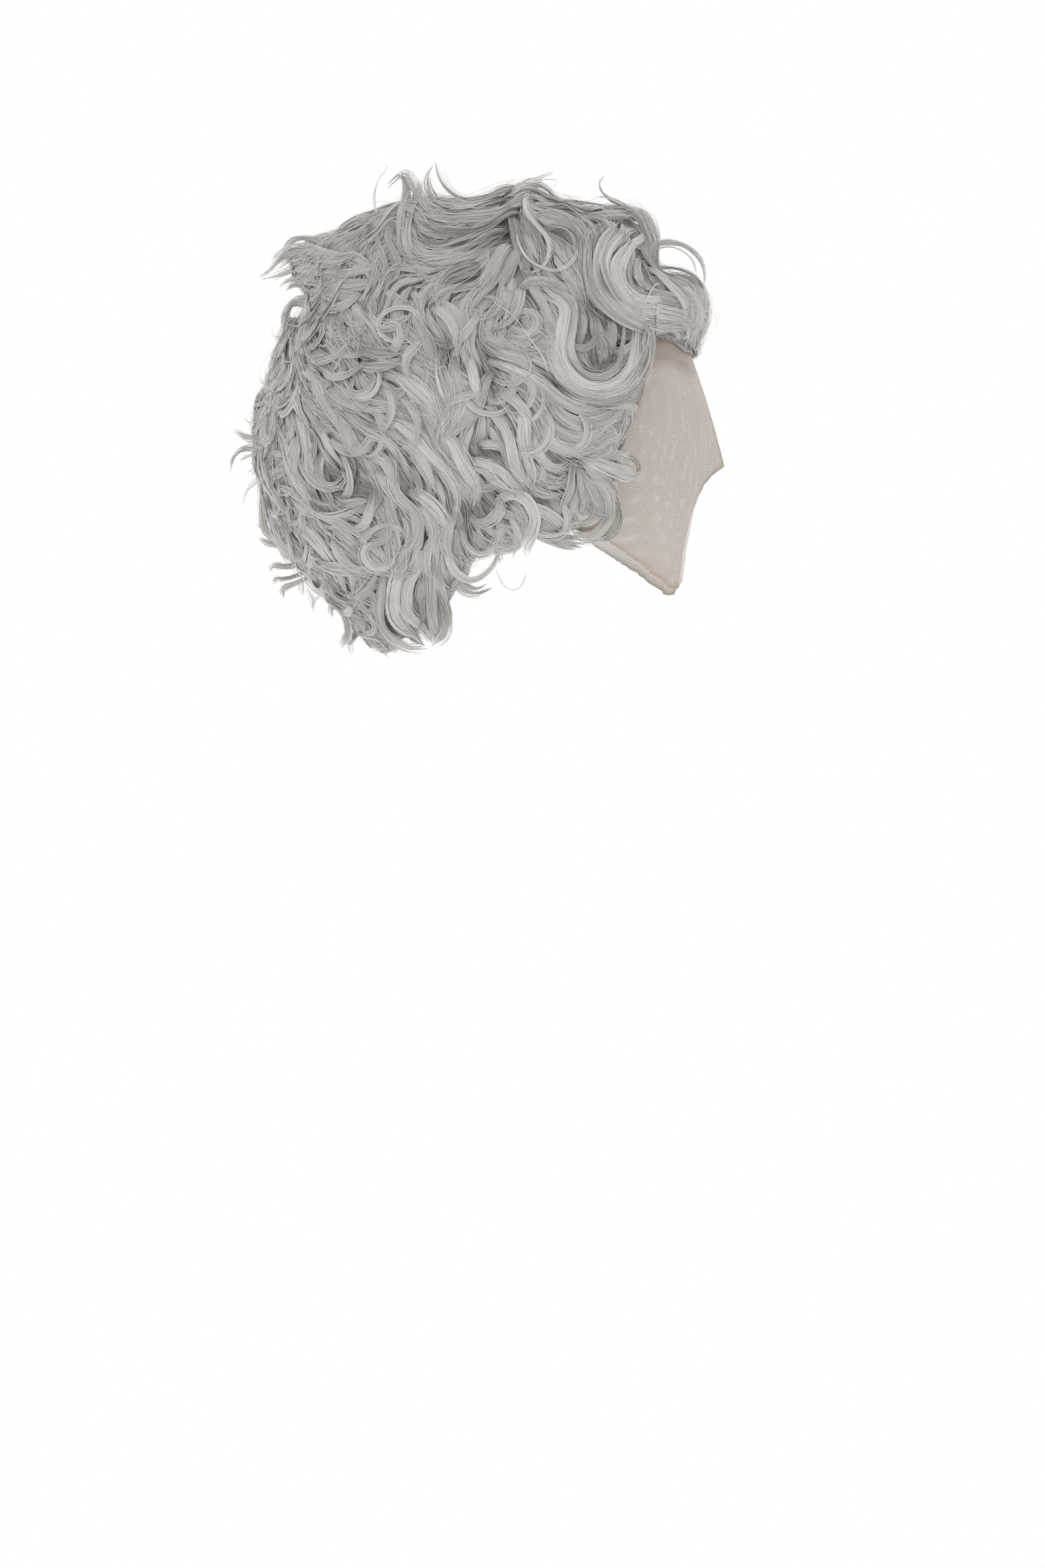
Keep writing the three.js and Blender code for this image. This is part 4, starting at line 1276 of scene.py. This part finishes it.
# Fine hairs along the hairline, combed back off the lace
azimuth = np.linspace(-HAIRLINE_HALF_AZIMUTH, HAIRLINE_HALF_AZIMUTH, HAIRLINE_HAIRS)
angle = edge_angle(azimuth) + dice.uniform(*HAIRLINE_PAST_EDGE, len(azimuth))
rows = np.linspace(0, 1, HAIRLINE_STOPS)
for turn, low in zip(azimuth, angle):
    swing = np.sign(turn) * dice.uniform(*HAIRLINE_SWINGS)
    back = rows * dice.uniform(*HAIRLINE_RISES)
    guide = Guide(turn + swing * rows, low - back, -2.5 + 3 * rows, 3.0, 0.0)
    lay_lock(guide, HAIRLINE_HAIR)

# Single loose hairs over the dressed locks
azimuth, angle = spread_places(LOOSE_PLACES)
height = dice.uniform(*LOOSE_HEIGHTS, len(angle))
for guide in combed_guides(azimuth, angle, height, LOOSE_WIDTH, LOOSE_STEPS, LOOSE_STEP):
    lay_lock(guide, LOOSE_HAIR)

# Fine pale hairs down the back, over the gaps between its curls
azimuth, angle = spread_places(BACK_PLACES)
kept = (np.abs(azimuth - 180) < BACK_HALF_AZIMUTH) & (angle > BACK_BELOW)
height = dice.uniform(*BACK_HEIGHTS, kept.sum())
for guide in combed_guides(azimuth[kept], angle[kept], height, LOOSE_WIDTH, BACK_STEPS, LOOSE_STEP):
    lay_lock(guide, BACK_HAIR)

# Flyaway hairs that stand off the hair's outline
azimuth, angle = spread_places(FLYAWAY_PLACES)
height = np.zeros(len(angle))
for guide in combed_guides(azimuth, angle, height, FLYAWAY_WIDTH, FLYAWAY_STEPS, FLYAWAY_STEP):
    rise = dice.uniform(*FLYAWAY_RISES) * np.linspace(0, 1, len(guide.angle)) ** 1.5
    lay_lock(guide._replace(height=guide.height + rise), FLYAWAY)


# Meshes

def link(name, mesh):
    piece = bpy.data.objects.new(name, mesh)
    bpy.context.scene.collection.objects.link(piece)
    return piece


def cells_of(index):
    """The four corners of every cell of a grid of indices."""
    corners = (index[..., :-1, :-1], index[..., :-1, 1:], index[..., 1:, 1:], index[..., 1:, :-1])
    return np.stack(corners, -1).reshape(-1, 4)


def shade_smoothly(mesh):
    mesh.polygons.foreach_set("use_smooth", np.ones(len(mesh.polygons), bool))
    mesh.update()


def hair_mesh(name, vertices, triangles, uv, bundles):
    """One mesh of a bulk, which may be empty, and bundles of fibres."""
    places, quads, uvs = [vertices], [], [uv]
    first = len(vertices)
    for ribbon, uv in bundles:
        cells = cells_of(np.arange(ribbon[..., 0].size).reshape(ribbon.shape[:3]))
        quads.append(first + cells)
        uvs.append(uv.reshape(-1, 2)[cells.ravel()])
        places.append(ribbon.reshape(-1, 3) * MM)
        first += ribbon[..., 0].size
    mesh = bpy.data.meshes.new(name)
    mesh.from_pydata(np.vstack(places), [], triangles + np.vstack(quads).tolist())
    layer = mesh.uv_layers.new(name="OFBake")
    layer.data.foreach_set("uv", np.vstack(uvs).astype(np.float32).ravel())
    shade_smoothly(mesh)
    return mesh


def hair_pieces(node):
    """The section's bulk with as many fibres as a piece holds, and more pieces for the rest."""
    loads, load, size = [], [], 0
    for bundle in fibres[node]:
        count, stops, columns = bundle[0].shape[:3]
        triangles = 2 * count * (stops - 1) * (columns - 1)
        if size + triangles > MOST_TRIANGLES:
            loads.append(load)
            load, size = [], 0
        load.append(bundle)
        size += triangles
    loads.append(load)
    pieces = [link("dressed_" + node, hair_mesh("dressed_" + node, *bulks[node], loads[0]))]
    for number, load in enumerate(loads[1:], 2):
        name = f"dressed_{node}_{number}"
        pieces.append(link(name, hair_mesh(name, np.zeros((0, 3)), [], np.zeros((0, 2)), load)))
    return pieces


def lace_form(tree, turn):
    """One column of the lace's form: its angles, from under the hair over the cap's edge to the cut edge,
    and the distance at each."""
    reached = [outer_distance(tree, turn, angle, LACE_FACING) for angle in LACE_SCAN]
    found = LACE_SCAN[[r is not None for r in reached]]
    form = np.array([r for r in reached if r is not None])
    top = min(edge_angle(turn) - LACE_UNDER_HAIR, found[0] - 1)
    sewn = np.arange(top, found[0] - LACE_SCAN_STEP, LACE_SCAN_STEP)
    over_cap = read_map(ROOT_MAP, np.full(len(sewn), turn), sewn) + LACE_OVER_CAP
    return np.append(sewn, found), np.append(over_cap, form)


def lace_sheet():
    """The lace as one thin sheet on the form of the frame's lace: a column for each azimuth, from the
    hairline to the cut edge, with its threads laid out in millimetres on the map net_mm."""
    tree = tree_of(["lace_front"])
    turns = np.linspace(-LACE_HALF_AZIMUTH, LACE_HALF_AZIMUTH, LACE_COLUMNS)
    forms = [lace_form(tree, turn) for turn in turns]
    tops = np.array([angles[0] for angles, _ in forms])
    bottoms = np.array([angles[-1] for angles, _ in forms])
    share = np.linspace(0, 1, LACE_ROWS)
    angles = tops[:, None] * (1 - share) + bottoms[:, None] * share
    distances = np.array([np.interp(row, *form) for row, form in zip(angles, forms)])
    for _ in range(LACE_SMOOTHINGS):
        inner = distances[:, 1:-1] * 0.5 + distances[:, :-2] * 0.25 + distances[:, 2:] * 0.25
        distances = np.column_stack([distances[:, 0], inner, distances[:, -1]])
    spread = np.broadcast_to(turns[:, None], angles.shape)
    ripple = 0.5 * np.sin(np.radians(spread * 9 + angles * 2))
    ripple = ripple + 0.4 * np.sin(np.radians(spread * 5 - angles * 7))
    points = point_at(spread, angles, distances + ripple * share * np.clip(np.abs(spread) / 8, 0, 1))
    quads = cells_of(np.arange(points[..., 0].size).reshape(angles.shape))
    mesh = bpy.data.meshes.new("lace_panel")
    mesh.from_pydata(points.reshape(-1, 3) * MM, [], quads.tolist())
    flat = np.stack([np.radians(spread) * LACE_ROUND_RADIUS, np.radians(angles) * LACE_DOWN_RADIUS], -1)
    across = (spread / LACE_HALF_AZIMUTH + 1) / 2
    unit_map = np.stack(np.broadcast_arrays(across, share), -1)
    for name, values in (("OFBake", unit_map), ("net_mm", flat)):
        layer = mesh.uv_layers.new(name=name)
        layer.data.foreach_set("uv", values.reshape(-1, 2)[quads.ravel()].astype(np.float32).ravel())
    crease = np.exp(-np.abs(spread) / LACE_FOLD_AZIMUTH)
    doubled = np.maximum(crease, np.exp(-(1 - share) * LACE_CUT_EDGE))
    sewn = np.clip(LACE_SEWN_COVER - (angles - angles[:, :1]) / LACE_SEWN_DROP, 0, 1)
    for name, values in (("doubled", doubled), ("sewn", sewn)):
        layer = mesh.attributes.new(name, "FLOAT", "POINT")
        layer.data.foreach_set("value", values.ravel().astype(np.float32))
    shade_smoothly(mesh)
    return link("lace_panel", mesh)


def net_cap():
    """The cap as the frame has it, but for its raised hairline, joined up so that it shades smoothly."""
    body = joined("cap")
    for vertex in body.verts:
        azimuth, angle, distance = polar_of(np.array(vertex.co) / MM)
        vertex.co = Vector(point_at(azimuth, above_hairline(azimuth, angle), distance) * MM)
    for face in body.faces:
        face.smooth = True
    mesh = bpy.data.meshes.new("net_cap")
    body.to_mesh(mesh)
    body.free()
    return link("net_cap", mesh)


# Materials

# Streaks run along each lock. A lock's body, about 6 mm across, takes up a fifth of the map's breadth, so
# that 64 make streaks of half a millimetre. Single fibres of 0.08 mm are too fine to show.
STREAKS = 64
STREAK_TONES = 0.5
FIBRE_GREYS = [(0.0, "#989490"), (0.35, "#b4b0ac"), (0.6, "#c3bfbb"), (1.0, "#e6e4e0")]
# Painted shade: hair is painted darker towards its roots, to this share of its tone at the root, over this
# share of the map's length.
ROOT_PAINTED_SHADE = 0.92
ROOT_REACH = 0.25
GROOVE_DEPTH = 0.2

# A real wig lace has holes of about 0.6 mm. They are drawn twice as coarse, so that they show.
NET_PITCH = 1.25
THREAD_SHARE = 0.13
HOLE_COVER = 0.36
HALF_ROW = 0.8660254
LACE_COLOUR = "#baaea4"
DOUBLED_LACE_COLOUR = "#ab9886"

# Real stitches are about 0.5 mm apart. They are drawn three times as coarse, as a mottle.
STITCHES_PER_MM = 0.6
KNIT_COLOURS = [(0.3, "#b3a08b"), (0.7, "#cfbfab")]


def linear(hex_colour):
    """An sRGB hex colour as linear RGBA."""
    parts = [int(hex_colour[i : i + 2], 16) / 255 for i in (1, 3, 5)]
    return [c / 12.92 if c <= 0.04045 else ((c + 0.055) / 1.055) ** 2.4 for c in parts] + [1.0]


def add_node(owner, kind, settings=None, **inputs):
    """Adds a node to a material or a world, sets its properties, and sets or links its inputs, named or as
    _0, _1 and so on."""
    tree = owner.node_tree
    node = tree.nodes.new(kind)
    for name, value in (settings or {}).items():
        setattr(node, name, value)
    for name, value in inputs.items():
        socket = node.inputs[int(name[1:]) if name[1:].isdigit() else name.replace("_", " ")]
        if isinstance(value, bpy.types.NodeSocket):
            tree.links.new(value, socket)
        else:
            socket.default_value = value
    return node


def new_material(name):
    material = bpy.data.materials.new(name)
    material.use_nodes = True
    material.node_tree.nodes.clear()
    return material


def set_ramp(node, stops):
    """Sets a colour ramp's stops to sRGB hex colours."""
    ramp = node.color_ramp
    while len(ramp.elements) < len(stops):
        ramp.elements.new(0.5)
    for element, (position, colour) in zip(ramp.elements, stops):
        element.position = position
        element.color = linear(colour)


def finish_material(material, shader):
    out = add_node(material, "ShaderNodeOutputMaterial")
    material.node_tree.links.new(shader.outputs[0], out.inputs["Surface"])
    return material


def silver_fibre():
    """Heat-set modacrylic wig fibre: fine silver-white fibres of slightly different greys, with a satin gloss
    along each, painted darker towards the roots as painted shade."""
    m = new_material("silver_fibre")
    uv = add_node(m, "ShaderNodeUVMap", {"uv_map": "OFBake"})
    split = add_node(m, "ShaderNodeSeparateXYZ", _0=uv.outputs[0])
    stretched = add_node(
        m, "ShaderNodeVectorMath", {"operation": "MULTIPLY"}, _0=uv.outputs[0], _1=(STREAKS, 1.5, 0),
    )
    streak = add_node(m, "ShaderNodeTexNoise", _0=stretched.outputs[0], Scale=1.0, Detail=2.0)
    tone = add_node(
        m, "ShaderNodeMath", {"operation": "MULTIPLY_ADD"},
        _0=streak.outputs[0], _1=STREAK_TONES, _2=-STREAK_TONES / 2,
    )
    tone = add_node(m, "ShaderNodeMath", {"operation": "ADD"}, _0=split.outputs["X"], _1=tone.outputs[0])
    ramp = add_node(m, "ShaderNodeValToRGB", _0=tone.outputs[0])
    set_ramp(ramp, FIBRE_GREYS)
    # Painted shade at the roots.
    root = add_node(
        m, "ShaderNodeMapRange", {"interpolation_type": "SMOOTHSTEP"},
        _0=split.outputs["Y"], _1=0.0, _2=ROOT_REACH, _3=ROOT_PAINTED_SHADE, _4=1.0,
    )
    colour = add_node(
        m, "ShaderNodeMix", {"data_type": "RGBA", "blend_type": "MULTIPLY"},
        _0=1.0, _6=ramp.outputs[0], _7=root.outputs[0],
    )
    grooves = add_node(
        m, "ShaderNodeBump", Strength=0.25, Distance=GROOVE_DEPTH * MM, Height=streak.outputs[0],
    )
    shader = add_node(
        m, "ShaderNodeBsdfPrincipled",
        Base_Color=colour.outputs[2], Roughness=0.42, IOR=1.5, Normal=grooves.outputs[0],
    )
    return finish_material(m, shader)


def hexagon_net(m, pitch):
    """How near each place is to a thread of a hexagonal net, 0 in a hole's middle and 1 on the thread, from
    the map net_mm."""
    flat = add_node(m, "ShaderNodeUVMap", {"uv_map": "net_mm"})
    cells = add_node(m, "ShaderNodeVectorMath", {"operation": "SCALE"}, _0=flat.outputs[0], Scale=1 / pitch)
    between = (0.5, HALF_ROW, 0.0)
    found = []
    for start in ((0.0, 0.0, 0.0), between):
        shifted = add_node(
            m, "ShaderNodeVectorMath", {"operation": "SUBTRACT"}, _0=cells.outputs[0], _1=start,
        )
        wrapped = add_node(
            m, "ShaderNodeVectorMath", {"operation": "WRAP"},
            _0=shifted.outputs[0], _1=(0.5, HALF_ROW, 1.0), _2=(-0.5, -HALF_ROW, -1.0),
        )
        length = add_node(m, "ShaderNodeVectorMath", {"operation": "LENGTH"}, _0=wrapped.outputs[0])
        found.append((wrapped.outputs[0], length.outputs["Value"]))
    (first, first_length), (second, second_length) = found
    nearer = add_node(m, "ShaderNodeMath", {"operation": "LESS_THAN"}, _0=first_length, _1=second_length)
    inside = add_node(
        m, "ShaderNodeMix", {"data_type": "VECTOR"}, _0=nearer.outputs[0], _4=second, _5=first,
    )
    size = add_node(m, "ShaderNodeVectorMath", {"operation": "ABSOLUTE"}, _0=inside.outputs[1])
    slant = add_node(
        m, "ShaderNodeVectorMath", {"operation": "DOT_PRODUCT"}, _0=size.outputs[0], _1=between,
    )
    split = add_node(m, "ShaderNodeSeparateXYZ", _0=size.outputs[0])
    reach = add_node(
        m, "ShaderNodeMath", {"operation": "MAXIMUM"}, _0=slant.outputs["Value"], _1=split.outputs["X"],
    )
    return add_node(m, "ShaderNodeMath", {"operation": "MULTIPLY"}, _0=reach.outputs[0], _1=2.0)


def wig_lace():
    """Fine hexagonal nylon lace, pale pinkish beige: thin threads round open holes, so that what is behind
    shows through, denser where it is folded and at its cut edge."""
    m = new_material("wig_lace")
    near = hexagon_net(m, NET_PITCH)
    thread = add_node(
        m, "ShaderNodeMapRange", {"interpolation_type": "SMOOTHSTEP"},
        _0=near.outputs[0], _1=1 - 2 * THREAD_SHARE, _2=1 - THREAD_SHARE, _3=HOLE_COVER, _4=1.0,
    )
    fold = add_node(m, "ShaderNodeAttribute", {"attribute_name": "doubled"})
    cover = add_node(
        m, "ShaderNodeMath", {"operation": "MULTIPLY_ADD"},
        _0=fold.outputs["Fac"], _1=0.5, _2=thread.outputs[0],
    )
    sewn = add_node(m, "ShaderNodeAttribute", {"attribute_name": "sewn"})
    cover = add_node(
        m, "ShaderNodeMath", {"operation": "MULTIPLY_ADD", "use_clamp": True},
        _0=sewn.outputs["Fac"], _1=0.6, _2=cover.outputs[0],
    )
    colour = add_node(
        m, "ShaderNodeMix", {"data_type": "RGBA"},
        _0=fold.outputs["Fac"], _6=linear(LACE_COLOUR), _7=linear(DOUBLED_LACE_COLOUR),
    )
    shader = add_node(
        m, "ShaderNodeBsdfPrincipled", Base_Color=colour.outputs[2], Alpha=cover.outputs[0], Roughness=0.7,
    )
    return finish_material(m, shader)


def stretch_net():
    """Knitted elastic net of the cap, beige and matt, its knit too fine to show except as a slight mottle."""
    m = new_material("stretch_net")
    place = add_node(m, "ShaderNodeTexCoord")
    mottle = add_node(
        m, "ShaderNodeTexNoise", _0=place.outputs["Object"], Scale=STITCHES_PER_MM / MM, Detail=2.0,
    )
    ramp = add_node(m, "ShaderNodeValToRGB", _0=mottle.outputs[0])
    set_ramp(ramp, KNIT_COLOURS)
    shader = add_node(m, "ShaderNodeBsdfPrincipled", Base_Color=ramp.outputs[0], Roughness=0.85)
    return finish_material(m, shader)


def white_floor():
    """Painted studio floor: even, near white and matt."""
    m = new_material("white_floor")
    shader = add_node(m, "ShaderNodeBsdfPrincipled", Base_Color=linear("#f4f3f1"), Roughness=0.9)
    return finish_material(m, shader)


def dress(piece, material, slot, *nodes):
    """Gives a piece its material and its place in the frame."""
    piece.data.materials.append(material)
    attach(piece, "root")
    if nodes:
        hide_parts(*nodes)


hair_finish = silver_fibre()
for node in HAIR_NODES:
    first, *others = hair_pieces(node)
    dress(first, hair_finish, "hair", node)
    for piece in others:
        dress(piece, hair_finish, "hair")

cap = net_cap()
dress(cap, stretch_net(), "cap_net", "cap")
lace = lace_sheet()
dress(lace, wig_lace(), "lace", "lace_front")


# Floor, light and camera

def lay_floor():
    body = bmesh.new()
    bmesh.ops.create_circle(body, cap_ends=True, segments=96, radius=FLOOR_RADIUS * MM)
    bmesh.ops.translate(body, verts=body.verts, vec=(0, 0, FLOOR_LEVEL * MM))
    mesh = bpy.data.meshes.new("floor")
    body.to_mesh(mesh)
    body.free()
    mesh.materials.append(white_floor())
    link("floor", mesh)


def light_studio():
    """A white room that is brighter beyond the wig, and one large softbox on the wearer's right."""
    world = bpy.data.worlds.new("studio")
    bpy.context.scene.world = world
    world.use_nodes = True
    background = world.node_tree.nodes["Background"]
    background.inputs["Color"].default_value = (1.0, 1.0, 1.0, 1.0)
    way = add_node(world, "ShaderNodeTexCoord")
    side = add_node(world, "ShaderNodeSeparateXYZ", _0=way.outputs["Generated"])
    room = add_node(
        world, "ShaderNodeMapRange", _0=side.outputs["X"], _1=-0.5, _2=0.9, _3=ROOM_LIGHT, _4=BACK_LIGHT,
    )
    path = add_node(world, "ShaderNodeLightPath")
    strength = add_node(
        world, "ShaderNodeMapRange", _0=path.outputs["Is Camera Ray"], _3=room.outputs[0], _4=WHITE_WALL,
    )
    world.node_tree.links.new(strength.outputs[0], background.inputs["Strength"])
    lamp = bpy.data.lights.new("key_softbox", "AREA")
    lamp.size = KEY_SIZE * MM
    lamp.energy = KEY_POWER
    softbox = link("key_softbox", lamp)
    softbox.location = KEY_PLACE * MM
    softbox.rotation_euler = (KEY_AIM - KEY_PLACE).to_track_quat("-Z", "Y").to_euler()


def set_camera():
    lens = bpy.data.cameras.new("camera")
    lens.sensor_width = SENSOR
    lens.lens = SENSOR * -CAMERA_PLACE[0] / PICTURE_HEIGHT
    camera = link("camera", lens)
    camera.location = CAMERA_PLACE * MM
    camera.rotation_euler = Vector((1, 0, 0)).to_track_quat("-Z", "Y").to_euler()
    bpy.context.scene.camera = camera
    bpy.context.scene.view_settings.view_transform = "Standard"


lay_floor()
light_studio()
set_camera()
